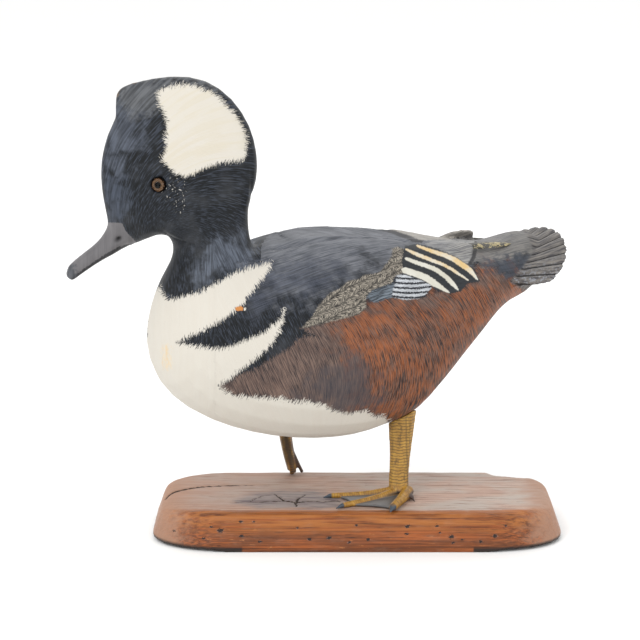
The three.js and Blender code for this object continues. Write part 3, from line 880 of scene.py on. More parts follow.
# In the order in which they are painted
BIRD_AREAS = (
    # The grey of the back: partly its paint, partly a painted sheen where the top of the back catches the
    # light
    PaintArea(
        "back_grey", Outline(((250, 215), (470, 215), (505, 235), (470, 262), (400, 256), (352, 273),
        (292, 292), (258, 270))),
        "#74767c", "#3a3d43", Flow.BACK, SOFT, fringe=14, cover=0.92, stroke_share=0.6, stroke_width=1.3,
        regions=(BREAST, WING, REAR),
    ),
    # Painted sheen: a bluish highlight on the black of the shoulder
    PaintArea(
        "shoulder_blue", Outline(((252, 262), (275, 262), (330, 262), (345, 275), (318, 292), (285, 300),
        (258, 312), (246, 296))),
        "#4d525f", "#1c1f24", Flow.BACK, SOFT, fringe=12, cover=0.6, stroke_share=0.6,
        regions=(HEAD, BREAST, WING),
    ),
    # Painted sheen: a bluish highlight on the back of the black neck
    PaintArea(
        "neck_blue", Outline(((212, 242), (243, 238), (248, 262), (232, 272), (214, 276), (196, 286),
        (200, 262))),
        "#717987", "#1f2227", Flow.SIDE, SOFT, fringe=9, cover=0.6, stroke_share=0.55,
        regions=(HEAD, BREAST),
    ),
    # Painted sheen: a blue-grey highlight on the black forehead
    PaintArea(
        "brow_blue", Outline(((112, 112), (128, 104), (142, 120), (130, 150), (112, 170), (104, 165))),
        "#6c7381", "#202328", Flow.HEAD, SOFT, fringe=10, cover=0.5, stroke_share=0.55, regions=(HEAD,),
    ),
    # Painted sheen: a grey highlight along the top of the crest
    PaintArea(
        "crest_grey", Outline(((118, 84), (150, 76), (200, 80), (215, 92), (190, 86), (164, 92), (158, 108),
        (128, 112))),
        "#76787b", "#2a2c30", Flow.HEAD, SOFT, fringe=6, cover=0.6, stroke_share=0.55, regions=(HEAD,),
    ),
    # Painted sheen: a bluish highlight on the black face in front of the eye
    PaintArea(
        "lore_blue", Outline(((106, 188), (122, 184), (128, 206), (122, 220), (109, 220))),
        "#565e6d", "#202328", Flow.HEAD, SOFT, fringe=7, cover=0.55, stroke_share=0.55, regions=(HEAD,),
    ),
    PaintArea(
        "flank_brown", Outline((*FLANK_TOP, *COVERTS_FOOT, (419, 298.6), (430, 296), (441, 292), (458, 291),
        (470, 283), (478, 282), (476, 264), (486, 266), (500, 272), (511, 279), (524, 286), (550, 298),
        (550, 320), (480, 370), (440, 430), (412, 470), (395, 440), *reversed(FLANK_FOOT)), smooth=False),
        "#5d4b44", "#2e2a2c", Flow.SIDE, HAIRY, fringe=3.0, lean=0.5, stroke_share=0.8, stroke_width=0.6,
        regions=(BREAST, FLANK, WING, REAR), glints="#8b7468", glint_share=0.5,
    ),
    PaintArea(
        "flank_chestnut", Outline(((335, 326), (392, 300), (430, 297), (458, 292), (478, 282), (476, 266),
        (486, 267), (500, 272), (512, 280), (550, 300), (550, 320), (480, 370), (440, 430), (412, 470),
        (388, 440), (378, 414), (358, 398), (354, 360), (334, 340)), smooth=False),
        "#735649", "#1f1c1e", Flow.SIDE, SOFT, fringe=13, cover=0.96, stroke_share=0.95, stroke_width=0.6,
        regions=(FLANK, WING, REAR), glints="#a65e31", glint_share=0.62,
    ),
    PaintArea(
        "flank_shade", Outline(((300, 398), (312, 378), (340, 362), (365, 370), (378, 400), (380, 416),
        (350, 412), (320, 404))),
        "#35373f", "#5c504d", Flow.SIDE, SOFT, fringe=12, cover=0.7, stroke_share=0.6, stroke_width=0.8,
        regions=(BREAST, FLANK),
    ),
    PaintArea(
        "white_front", Outline(((130, 270), *NECK_EDGE, *FIRST_BAR_TOP, *FIRST_BAR_FOOT, *SECOND_BAR_TOP,
        *FLANK_FOOT, (398, 432), (420, 470), (280, 480), (130, 430), (110, 340)), smooth=False),
        WHITE, "#c4bbae", Flow.SIDE, HAIRY, fringe=3.2, lean=0.45, stroke_share=0.12, stroke_width=2.4,
        roughness=0.6, regions=(HEAD, BREAST, FLANK),
    ),
    PaintArea(
        "coverts", Outline((*COVERTS_FOOT[:1], *COVERTS_TOP, (398, 246.5), (405, 249.5), (409.5, 254),
        (405, 258.4), (403, 272.7), (395, 277), (391.6, 283), (372, 290), (366, 297), (366, 308),
        *COVERTS_FOOT[2:0:-1]), smooth=False),
        "#2a2827", "#9f978a", Flow.BACK, HAIRY, fringe=1.2, stroke_share=0.2, stroke_width=0.9,
        regions=(WING,),
    ),
    PaintArea(
        "blue_coverts", Outline(((366, 297), (372, 290.5), (391, 284), (394, 283), (396, 290), (392, 297.5),
        (374, 303)), smooth=False),
        "#2a2e33", "#77818b", Flow.BACK, HAIRY, fringe=1.0, stroke_share=0.7, stroke_width=0.6,
        regions=(WING,),
    ),
    PaintArea(
        "tertials", Outline(((405, 246), (417, 243.5), (438, 249), (460, 260), (476, 273), (480, 282),
        (468, 283), (461, 291), (450, 294), (431, 285), (403, 274), (402, 258)), smooth=False),
        "#26282b", "#3a3d41", Flow.BACK, CLEAN, fringe=0.5, stroke_share=0.3, regions=(WING, REAR),
    ),
    PaintArea(
        "speculum", Outline(((395.5, 276), (404, 274), (413, 277.8), (423, 281.2), (431, 284.8),
        (431.5, 288), (427, 293.5), (419, 298.6), (404, 299.8), (391.5, 297), (393.5, 288), (396, 281)),
        smooth=False),
        "#c2c6cb", "#2b2d33", Flow.BACK, HAIRY, fringe=0.8, stroke_share=0.35, stroke_width=0.9,
        regions=(WING,),
    ),
    PaintArea(
        "rump_grey", Outline(((436, 236), (470, 226), (500, 232), (530, 222), (545, 240), (532, 255),
        (500, 262), (474, 262), (452, 250))),
        "#827f7b", "#4a4a4c", Flow.BACK, SOFT, fringe=5, cover=0.85, stroke_share=0.6, stroke_width=1.0,
        regions=(WING, REAR),
    ),
    # Painted sheen: a bluish highlight on the rounded rump above the tail
    PaintArea(
        "rump_blue", Outline(((484, 262), (505, 258), (528, 256), (522, 268), (512, 279), (500, 273),
        (486, 268))),
        "#454a53", "#323439", Flow.BACK, SOFT, fringe=5, cover=0.85, stroke_share=0.5, regions=(WING, REAR),
    ),
    PaintArea(
        "head_patch", Outline(((158.3, 91.5), (166.6, 87.4), (185.7, 84), (203, 89), (216.3, 94.8),
        (229.6, 108), (237.9, 118), (246.2, 133), (247.4, 142.9), (246.6, 153.7), (242, 160.3),
        (224.6, 162), (208, 167), (196.4, 172.8), (185.7, 176), (174.9, 172.8), (166.6, 164.5),
        (161.6, 159.5), (166.6, 147.9), (164.9, 139.6), (166.6, 129.7), (165.8, 118), (162.4, 109.8),
        (158.3, 101.5))),
        WHITE, "#c8bea8", Flow.HEAD, HAIRY, fringe=3.0, lean=0.5, stroke_share=0.15, stroke_width=2.0,
        roughness=0.6, regions=(HEAD,), glints="#c3b89c", glint_share=0.22,
    ),
    PaintArea(
        "bill", Outline(((109, 222.5), (122, 223), (125, 230), (130, 236), (137, 243), (150, 262),
        (110, 285), (50, 300), (40, 260), (90, 225)), smooth=False),
        "#6c6a6c", "#555355", Flow.SIDE, CLEAN, fringe=0.4, stroke_share=0.35, stroke_width=2.5,
        roughness=0.42, regions=(HEAD,),
    ),
    PaintArea(
        "bill_foot", Outline(((134, 243.8), (118, 247.5), (105, 254.6), (92, 263.6), (80, 272.2),
        (71, 277.6), (60, 290), (110, 285), (150, 262)), smooth=False),
        "#2f2f31", "#454547", Flow.SIDE, CLEAN, fringe=0.6, stroke_share=0.4, roughness=0.45,
        regions=(HEAD,),
    ),
    PaintArea(
        "bill_nail", Outline(((60, 262), (69, 262), (75, 268), (76, 276), (70, 284), (58, 284))),
        "#2f3135", "#63666c", Flow.SIDE, SOFT, fringe=2.5, cover=0.9, roughness=0.4, regions=(HEAD,),
    ),
    PaintArea(
        "crest_worn", Outline(((114, 99), (114, 86), (124, 78), (138, 77), (138, 82.3), (127, 85.2),
        (120.4, 89.4), (118, 96))),
        "#776350", "#3e3834", Flow.HEAD, CLEAN, fringe=0.8, cover=0.7, regions=(HEAD,),
    ),
    PaintArea(
        "eye_flecks", Outline(((160, 180), (176, 174), (184, 180), (186, 205), (178, 214), (163, 196))),
        "#c9c5be", "#a8a49c", Flow.HEAD, CLEAN, fringe=2.0, flecks=1.7, direct=True, regions=(HEAD,),
    ),
    PaintArea(
        "wing_leaf", Outline(((424, 244), (436, 240), (446, 238.5), (460, 235), (472, 233), (475, 240),
        (473.5, 248), (471.5, 257), (467, 264), (458, 258), (446, 252), (434, 247.5)), smooth=False),
        "#8a8a8a", "#515256", Flow.BACK, CLEAN, fringe=0.5, cover=0.9, stroke_share=0.8, stroke_width=0.9,
        regions=(WING, REAR), glints="#a9a6a0", glint_share=0.6,
    ),
    PaintArea(
        "leaf_shadow", Outline(((474.8, 238), (474, 247), (472, 257), (468, 264), (470.5, 266),
        (475.5, 258), (477.5, 247), (477, 238)), smooth=False),
        "#2a2a2c", "#333335", Flow.BACK, CLEAN, fringe=0.3, cover=0.8, regions=(WING, REAR),
    ),
    PaintArea(
        "far_wing", Outline(((378, 220), (450, 222), (479, 222), (479, 236), (472, 234.6), (460, 236.6),
        (450, 239.5), (432, 240), (419, 240.6), (408, 236), (396, 232), (382, 228.6)), smooth=False),
        "#a39e96", "#6b6865", Flow.BACK, CLEAN, fringe=0.6, cover=0.95, stroke_share=0.7, stroke_width=0.9,
        direct=True, regions=(WING, REAR),
    ),
    # Painted shade: a dark band in the groove where the far wing meets the back
    PaintArea(
        "far_wing_gap", Outline(((372, 226.5), (384, 227.6), (396, 231), (408, 235), (419, 239.6),
        (424, 240.2), (422, 243), (415, 242.5), (404, 238.4), (392, 233.6), (380, 230.2)), smooth=False),
        "#2b2a2c", "#3a393b", Flow.BACK, HAIRY, fringe=0.5, cover=0.9, direct=True, regions=(WING,),
    ),
    PaintArea(
        "far_bar_tip", Outline(((140, 314), (146.3, 314), (147.6, 321), (147, 328), (148, 336), (145, 341),
        (140, 341)), smooth=False),
        "#25282e", "#33363c", Flow.SIDE, HAIRY, fringe=0.9, direct=True,
    ),
    PaintArea(
        "breast_stain", Outline(((164.5, 348), (168, 347), (169, 358), (167.5, 368), (165, 366))),
        "#d6b67f", "#dcd0b8", Flow.SIDE, SOFT, fringe=3.0, cover=0.6, direct=True,
    ),
    PaintArea(
        "bare_chip", Outline(((235.2, 308.2), (237.5, 306.6), (241.5, 306.4), (243.2, 307.6),
        (242.6, 310.4), (236.8, 310.8))),
        "#c08248", "#b27038", Flow.SIDE, CLEAN, fringe=0.3, direct=True,
    ),
    PaintArea(
        "chip_edge", Outline(((243.6, 307.8), (246.2, 307.2), (246.4, 309.6), (244.2, 311)), smooth=False),
        "#d9d3c8", "#b9b4ab", Flow.SIDE, CLEAN, fringe=0.4, direct=True,
    ),
)

# The white stripes on the tertials, with their half widths in pixels
STRIPES = {
    "stripe_1": Outline(
        ((417, 245.8), (433.6, 251.7), (449, 257), (460, 263.4), (469.5, 270), (477.5, 279.5)),
        closed=False, widths=(1.1, 1.9, 2.3, 2.6, 2.5, 0.8),
    ),
    "stripe_2": Outline(
        ((406, 249.2), (418, 254.8), (433.6, 261), (445, 265.5), (456.5, 272.4), (468.5, 280.5)),
        closed=False, widths=(1.0, 1.8, 1.7, 1.5, 1.4, 0.6),
    ),
    "stripe_3": Outline(
        ((406, 258.6), (418.3, 263.2), (433.6, 268.6), (445, 276.2), (452, 283), (458, 289.8)),
        closed=False, widths=(1.6, 2.0, 2.2, 2.2, 2.3, 0.8),
    ),
    "stripe_4": Outline(
        ((404, 270), (418.3, 274.7), (428, 279), (436, 284.4), (449, 292.5)),
        closed=False, widths=(3.2, 3.2, 3.3, 3.0, 0.7),
    ),
}


@dataclass(frozen=True)
class Hair:
    """The size of the painted hairs at an area's edge, in millimetres.

    The real brush left hairs down to 0.3 mm wide. They are drawn at 0.5 mm, so that they show in the
    render.
    """

    width: float = 0.5
    length: float = 4.5
    sharp: float = 0.45


class BirdPaint(Coat):
    """Aged oil paint brushed over sanded pine.

    It is satin, matter where it is white, and its short brush strokes stand up a little. Sizes are in
    millimetres, and the lengths of an area's strokes and glints in widths of a stroke.
    """

    hair = Hair()
    clean_wave = 1.5
    stroke_length = 15
    glint_length = 22
    base_roughness = (0.4, 0.54)
    stroke_height = 0.12 * MM
    tail_barb = (1 / 0.09, 1 / 5.5, 1.0)
    covert_tilt = math.radians(28)
    covert_half = 3.6
    covert_barb = (0.62, 2.6, 1.0)
    yellowed_stripes = 2

    def __init__(self, fan: Fan, region: Region) -> None:
        """Starts the material.

        Args:
            fan: The tail's feathers.
            region: The region of the bird that the material covers.
        """
        super().__init__("aged_oil_paint_on_the_" + region.value)
        self.fan = fan
        self.region = region

    def strokes(self, flow: Flow, across: float, along: float, seed: float) -> Socket:
        """Makes brush strokes that follow the feathers.

        Args:
            flow: The way in which the strokes run.
            across: The width of a stroke in millimetres.
            along: Its length in millimetres.
            seed: A number that sets these strokes apart from others.

        Returns:
            A value from 0 to 1.
        """
        place = self.add("Attribute", (), "Vector", attribute_name=flow.value)
        return self.noise(place, (along, across, 1.0), seed, 0.37, 0.63, Detail=2.5, Roughness=0.6)

    def blotches(self, size: float, seed: float) -> Socket:
        """Makes soft blotches of a size in millimetres."""
        place = self.add("TexCoord", (), "Object")
        return self.noise(place, (size * MM,) * 3, seed, 0.32, 0.68, Detail=3.0, Roughness=0.55)

    def edge_mask(self, name: str, edge: Edge, fringe: float, lean: float, seed: float) -> Socket:
        """Makes the mask of an area or a stripe.

        Args:
            name: The attribute with the distance, the run and the half width.
            edge: How the area ends.
            fringe: How far its edge wanders, in millimetres.
            lean: How far its hairs lean, per length.
            seed: A number that sets these hairs apart from others.

        Returns:
            A value from 0 outside to 1 inside.
        """
        parts = self.parts(name)
        distance = self.inside_line(parts) if name in STRIPES else parts[0]
        if edge is SOFT:
            wander, soft = self.blotches(fringe, seed), fringe
        else:
            leaning = self.add("Math", (parts[0], lean, parts[1]), operation="MULTIPLY_ADD")
            place = self.add("CombineXYZ", (leaning, parts[0], seed))
            sizes = (self.hair.width if edge is HAIRY else self.clean_wave, self.hair.length, 1.0)
            wander, soft = self.noise(place, sizes, 0.0, 0.3, 0.7, Detail=2.0, Roughness=0.7), self.hair.sharp
        shifted = self.add("Math", (wander, 2 * fringe, distance), operation="MULTIPLY_ADD")
        return self.add("MapRange", (shifted, fringe - soft, fringe + soft), **SMOOTH)

    def area_colour(self, area: PaintArea, seed: float) -> Socket:
        """Makes the brushed colour of an area.

        Args:
            area: The area.
            seed: A number that sets its strokes apart from others.

        Returns:
            The colour.
        """
        width = area.stroke_width
        fine = self.strokes(area.flow, width, width * self.stroke_length, seed)
        both = self.add("Math", (self.blotches(14, seed + 3), 0.35, fine), operation="MULTIPLY_ADD")
        share = self.add("MapRange", (both, 0.25, 1.15, 0.0, area.stroke_share * 1.3))
        colour = self.lay(area.colour, area.strokes, share)
        if not area.glints:
            return colour
        lines = self.strokes(area.flow, width * 0.9, width * self.glint_length, seed + 31)
        more = self.add("Math", (self.blotches(22, seed + 7), 0.6, lines), operation="MULTIPLY_ADD")
        return self.lay(colour, area.glints, self.add("MapRange", (more, 0.7, 1.1)), area.glint_share)

    def base_coat(self, brush: Socket) -> Socket:
        """Makes the black coat with its bluish strokes and grey worn spots.

        Args:
            brush: The brush strokes over the whole bird.

        Returns:
            The colour.
        """
        coat = self.add("ValToRGB", (brush,))
        marks = coat.node.color_ramp.elements
        marks[0].color = linear("#0d0f11")
        marks[-1].color = linear("#363b45")
        marks.new(0.5).color = linear(BLACK)
        worn = self.add("MapRange", (self.blotches(26, 4.0), 0.55, 1.0, 0.0, 0.5))
        return self.lay(coat, "#3c3e42", worn)

    def tail_coat(self, paint: Socket) -> Socket:
        """Paints the tail's feathers and the dark lines between them.

        Args:
            paint: The paint so far.

        Returns:
            The paint with the tail.
        """
        reach, feather, on_fan = self.parts("fan")
        barbs = self.noise(
            self.add("CombineXYZ", (reach, feather)), self.tail_barb, 0.0, 0.36, 0.64, Detail=3.0
        )
        paint = self.lay(paint, self.lay("#454346", "#7d7872", barbs), on_fan, 0.95)
        from_left = self.add("MapRange", (feather, 3.2, 0.5))
        flecks = self.add("MapRange", (self.blotches(2.2, 6.0), 0.55, 0.8))
        low = self.add("Math", (from_left, flecks), operation="MULTIPLY")
        pale = self.add("Math", (low, on_fan), operation="MULTIPLY")
        paint = self.lay(paint, "#8d9097", pale, 0.7)
        step = (self.fan.spread[1] - self.fan.spread[0]) / self.fan.feathers
        width = self.add("Math", (reach, step), operation="MULTIPLY")
        whole = self.add("Math", (feather, 0.5), operation="PINGPONG")
        gap = self.add("Math", (whole, width), operation="MULTIPLY")
        line = self.add("MapRange", (gap, 1.25, 0.45), **SMOOTH)
        shown = self.add("Math", (line, on_fan), operation="MULTIPLY")
        return self.lay(paint, "#161517", shown, 0.92)

    def patterned(self, area: PaintArea, colour: Socket) -> Socket:
        """Adds the small feather pattern that some areas have.

        Args:
            area: The area.
            colour: Its brushed colour.

        Returns:
            The colour with its pattern.
        """
        if area.name == "speculum":
            row = self.add("Attribute", (), "Fac", attribute_name="speculum_row")
            shape = self.add("Math", (row, 0.5), operation="PINGPONG")
            rough = self.add("Math", (self.blotches(0.8, 2.0), 0.3, shape), operation="MULTIPLY_ADD")
            return self.lay(colour, "#25272c", self.add("MapRange", (rough, 0.42, 0.3)))
        if area.name == "coverts":
            place = self.add("Attribute", (), "Vector", attribute_name="near_mm")
            turned = self.add("Mapping", {0: place, "Rotation": (0.0, 0.0, self.covert_tilt)})
            along, across, _ = self.add("SeparateXYZ", (turned,)).node.outputs
            bent = self.add("Math", (self.blotches(9, 8.0), 3.0, across), operation="MULTIPLY_ADD")
            from_shaft = self.add("Math", (bent, self.covert_half), operation="PINGPONG")
            slanted = self.add("Math", (from_shaft, 1.1, along), operation="MULTIPLY_ADD")
            barbs = self.add("CombineXYZ", (slanted, across))
            hairs = self.noise(barbs, self.covert_barb, 0.0, 0.49, 0.56, Detail=1.0)
            off_rim = self.add("MapRange", (from_shaft, 3.5, 2.6))
            hairs = self.add("Math", (hairs, off_rim), operation="MULTIPLY")
            return self.lay(colour, area.strokes, hairs, 0.95)
        return colour

    def build(self) -> bpy.types.Material:
        """Links the whole material.

        Returns:
            The material.
        """
        head = self.strokes(Flow.HEAD, 0.8, 8.0, 1.0)
        side = self.strokes(Flow.SIDE, 0.8, 8.0, 2.0)
        back = self.strokes(Flow.BACK, 1.3, 16.0, 3.0)
        back_share, head_share, nostril = (
            self.add("Attribute", (), "Fac", attribute_name=name)
            for name in ("back_share", "head_share", "nostril")
        )
        brush = self.add("Mix", {0: back_share, 2: side, 3: back})
        brush = self.add("Mix", {0: head_share, 2: brush, 3: head})
        paint = self.base_coat(brush)
        rough = self.add("MapRange", (brush, 0.0, 1.0, *self.base_roughness))
        for number, area in enumerate(BIRD_AREAS):
            if self.region not in area.regions:
                continue
            mask = self.edge_mask(area.name, area.edge, area.fringe, area.lean, number * 1.7)
            if area.flecks:
                spots = self.add("MapRange", (self.blotches(area.flecks, number * 0.9), 0.86, 0.97))
                mask = self.add("Math", (mask, spots), operation="MULTIPLY")
            colour = self.patterned(area, self.area_colour(area, number * 2.3))
            paint = self.lay(paint, colour, mask, area.cover)
            rough = self.add("Mix", {0: mask, 2: rough, 3: area.roughness})
        if self.region is REAR:
            paint = self.tail_coat(paint)
        if self.region is HEAD:
            # Painted shade: the carved nostril is darkened to near black by its depth
            paint = self.lay(paint, "#0c0c0e", nostril)
        for number, name in enumerate(STRIPES if self.region is WING else ()):
            mask = self.edge_mask(name, CLEAN, 0.3, 0.0, number * 3.1)
            aged = "#d0b27c" if number < self.yellowed_stripes else "#c2beb0"
            paint = self.lay(paint, self.lay("#cdcbc1", aged, self.blotches(11, 5.0 + number)), mask)
        bump = self.add("Bump", {"Strength": 0.6, "Distance": self.stroke_height, "Height": brush})
        # Old oil paint is a little chalky, so its sheen is weaker than that of a fresh coat
        return self.finish(base_color=paint, roughness=rough, normal=bump, ior=1.45, specular_ior_level=0.24)


@dataclass
class Bird:
    """The carved and painted bird, without its eyes, legs and wing-tip slips.

    The edges of its regions and of its speculum are in pixels of the reference view.
    """

    voxel: float = 1.62 * MM
    rounds: int = 45
    head_corner: Point = (262.0, 262.0)
    rear_start: float = 482.0
    bill_end: float = 132.0
    breast_end: float = 300.0
    flank_start: float = 335.0
    relief: BirdRelief = field(default_factory=BirdRelief)
    back_foot: float = 265.0
    speculum_row: float = 4.75
    speculum_top: float = 282.0
    speculum_middle: float = 411.0
    speculum_half: float = 18.0
    speculum_sag: float = 1.5
    turned_away: float = 0.1
    hidden_distance: float = -3.0

    def build(self) -> None:
        """Makes the bird."""
        skin = Surface("bird", "carved_bird", self.voxel)
        bird = BIRD.to_bird(skin.places)
        tail = eased((bird[:, 0] / MM - 118) / 14)
        wing = eased((bird[:, 0] / MM - 60) / 10) * eased((bird[:, 2] / MM - 205) / 10)
        skin.smooth(self.rounds, 1 - 0.93 * np.maximum(tail, wing))
        places = skin.places
        bird = BIRD.to_bird(places)
        pixels = BIRD.near_pixels(places)
        skin.raise_by(self.relief.height(pixels, bird))
        self.store_paint(skin, pixels, bird)
        on_head = (pixels < self.head_corner).all(1) | (pixels[:, 0] < self.bill_end)
        low = pixels[:, 1] > self.flank_start
        on_body = np.where(pixels[:, 0] < self.breast_end, 1, np.where(low, 2, 3))
        regions = np.where(on_head, 0, np.where(pixels[:, 0] > self.rear_start, 4, on_body))
        materials = [BirdPaint(self.relief.fan, region).build() for region in Region]
        skin.finish("painted_wood", materials, regions)

    def store_paint(self, skin: Surface, pixels: np.ndarray, bird: np.ndarray) -> None:
        """Stores where each vertex lies in the paint.

        Args:
            skin: The bird's surface.
            pixels: Its vertices' pixels in the reference view.
            bird: Its vertices in the bird's frame.
        """
        seen = VIEW.project(skin.places)
        hidden = skin.normals @ VIEW.forward > self.turned_away
        for area in BIRD_AREAS:
            distance, run, width = area.outline.measure(seen if area.direct else pixels)
            if area.direct:
                distance = np.where(hidden, np.minimum(distance, self.hidden_distance), distance)
            skin.store(area.name, np.stack([distance, run, width], 1))
        for name, line in STRIPES.items():
            skin.store(name, np.stack(line.measure(pixels), 1))
        for flow in Flow:
            skin.store(flow.value, flow.measure(pixels, bird))
        reach, feather = self.relief.fan.measure(bird)
        skin.store("fan", np.stack([reach, feather, self.relief.fan_share(pixels, bird)], 1))
        skin.store("nostril", self.relief.nostril_share(pixels))
        skin.store("head_share", BIRD.head_share(bird))
        skin.store("back_share", eased((self.back_foot - pixels[:, 1]) / 20) * (bird[:, 0] > -95 * MM))
        skin.store("near_mm", np.column_stack([pixels * VIEW.pixel, np.zeros(len(pixels))]))
        across = (pixels[:, 0] - self.speculum_middle) / self.speculum_half
        sag = self.speculum_sag * (1 - across**2)
        row = (pixels[:, 1] - self.speculum_top - sag) / self.speculum_row
        skin.store("speculum_row", row)


# How many sizes of lump are added up, each half as large as the one before
LUMP_SIZES = 3


def lump(places: np.ndarray, size: float, seed: float) -> np.ndarray:
    """Gives smooth random heights between about -1 and 1.

    Args:
        places: Places in metres, one row each.
        size: The size of the lumps in millimetres.
        seed: A number that sets these lumps apart from others.

    Returns:
        A height for each place.
    """
    shift = Vector((seed, seed * 1.7, seed * 2.3))
    scaled = places / (size * MM)
    return np.array([noise.fractal(Vector(place) + shift, 1.0, 2.0, LUMP_SIZES) for place in scaled])


@dataclass(frozen=True)
class BoardRelief:
    """The wear of the board. Places are millimetres on its top, or pixels where they say so."""

    undulation: float = 0.35
    undulation_size: float = 38.0
    crack_depth: float = 1.3
    crack_edge: float = 0.9
    cracks: tuple[Outline, ...] = (
        Outline(
            ((-95, -28), (-88.7, -25.5), (-80, -25.8), (-67.7, -24.8), (-57, -23.3), (-46.7, -26.8),
             (-38.4, -24.3), (-25.8, -25.5), (-18, -23), (-10.6, -26.5)),
            closed=False, widths=(0.6, 1.1, 1.4, 1.6, 1.7, 1.7, 1.6, 1.4, 1.6, 0.6), unit=1.0,
        ),
        Outline(((-65, -6), (-61.7, -12.9), (-56.8, -23.1)), closed=False, widths=(0.3, 0.8, 1.2), unit=1.0),
        Outline(((-46.8, -25.5), (-46.5, -18.7), (-40, -7)), closed=False, widths=(1.3, 1.0, 0.4), unit=1.0),
        Outline(((-49, -26.5), (-47.2, -34), (-48, -38)), closed=False, widths=(1.0, 0.9, 0.5), unit=1.0),
        Outline(
            ((-151, -14.6), (-149, -8), (-142.9, 0.9), (-127.6, 11.4), (-106.3, 16), (-84, 17.6),
             (-60, 17.2)),
            closed=False, widths=(1.2, 1.5, 1.8, 1.9, 1.7, 1.3, 0.3), unit=1.0,
        ),
        Outline(((-84, -24), (-76, -12.5), (-68, -8.5)), closed=False, widths=(0.4, 0.6, 0.3), unit=1.0),
    )
    knot: Outline = Outline(
        ((-99, -24.8), (-89.4, -6), (-73.7, 2.6), (-47, 6), (-25.7, 0), (-8, -17), (-8, -31.5), (-17.5, -43),
         (-46.6, -45.5), (-72.5, -43.5), (-89.3, -38)),
        unit=1.0,
    )
    chip: Outline = Outline(((106, 70), (110, 47), (122, 41), (142, 38), (160, 60)), unit=1.0)
    chip_depth: float = 2.6
    # Worm holes and dents on the front, as pixels and a size
    pits: tuple[tuple[float, float, float], ...] = (
        (220.3, 530.6, 3.4), (241.7, 536, 2.2), (259.8, 541.6, 2), (241, 521.5, 1.9), (253.8, 521.5, 1.6),
        (309.4, 539.3, 2), (328.8, 538, 2.3), (297.3, 528, 1.5), (349.5, 542.4, 2), (211, 526.6, 1.6),
        (203.6, 538.4, 1.8), (407.5, 526.3, 2.4), (437, 526.3, 1.8), (451.7, 536.6, 2.6), (495.2, 535.9, 2.6),
        (481.2, 541.7, 1.9), (406.8, 534, 1.8), (368.2, 539.4, 1.9), (356.3, 525.3, 1.7), (439.8, 532.8, 1.5),
        (453.1, 542.9, 1.6), (462.3, 539.4, 1.5), (506.4, 526, 1.6), (173.5, 530.5, 1.6),
    )
    pit_depth: float = 1.2
    # The lip under the board shows only at its ends, so its middle is filled in along the front
    filler: tuple[Vector, Vector] = (Vector((-0.089, -0.0642, 0.0006)), Vector((0.087, -0.050, 0.008)))

    def pit_share(self, pixels: np.ndarray) -> np.ndarray:
        """Gives how deep in a pit places are.

        Args:
            pixels: The places' pixels in the reference view.

        Returns:
            The share of the depth at each place, from 0 outside to 1 in the middle.
        """
        share = np.zeros(len(pixels))
        for across, down, size in self.pits:
            offset = (pixels - (across, down)) * VIEW.pixel / size * (1.0, 1.6)
            share = np.maximum(share, np.exp(-((np.hypot(*offset.T) * 1.2) ** 2)))
        return share


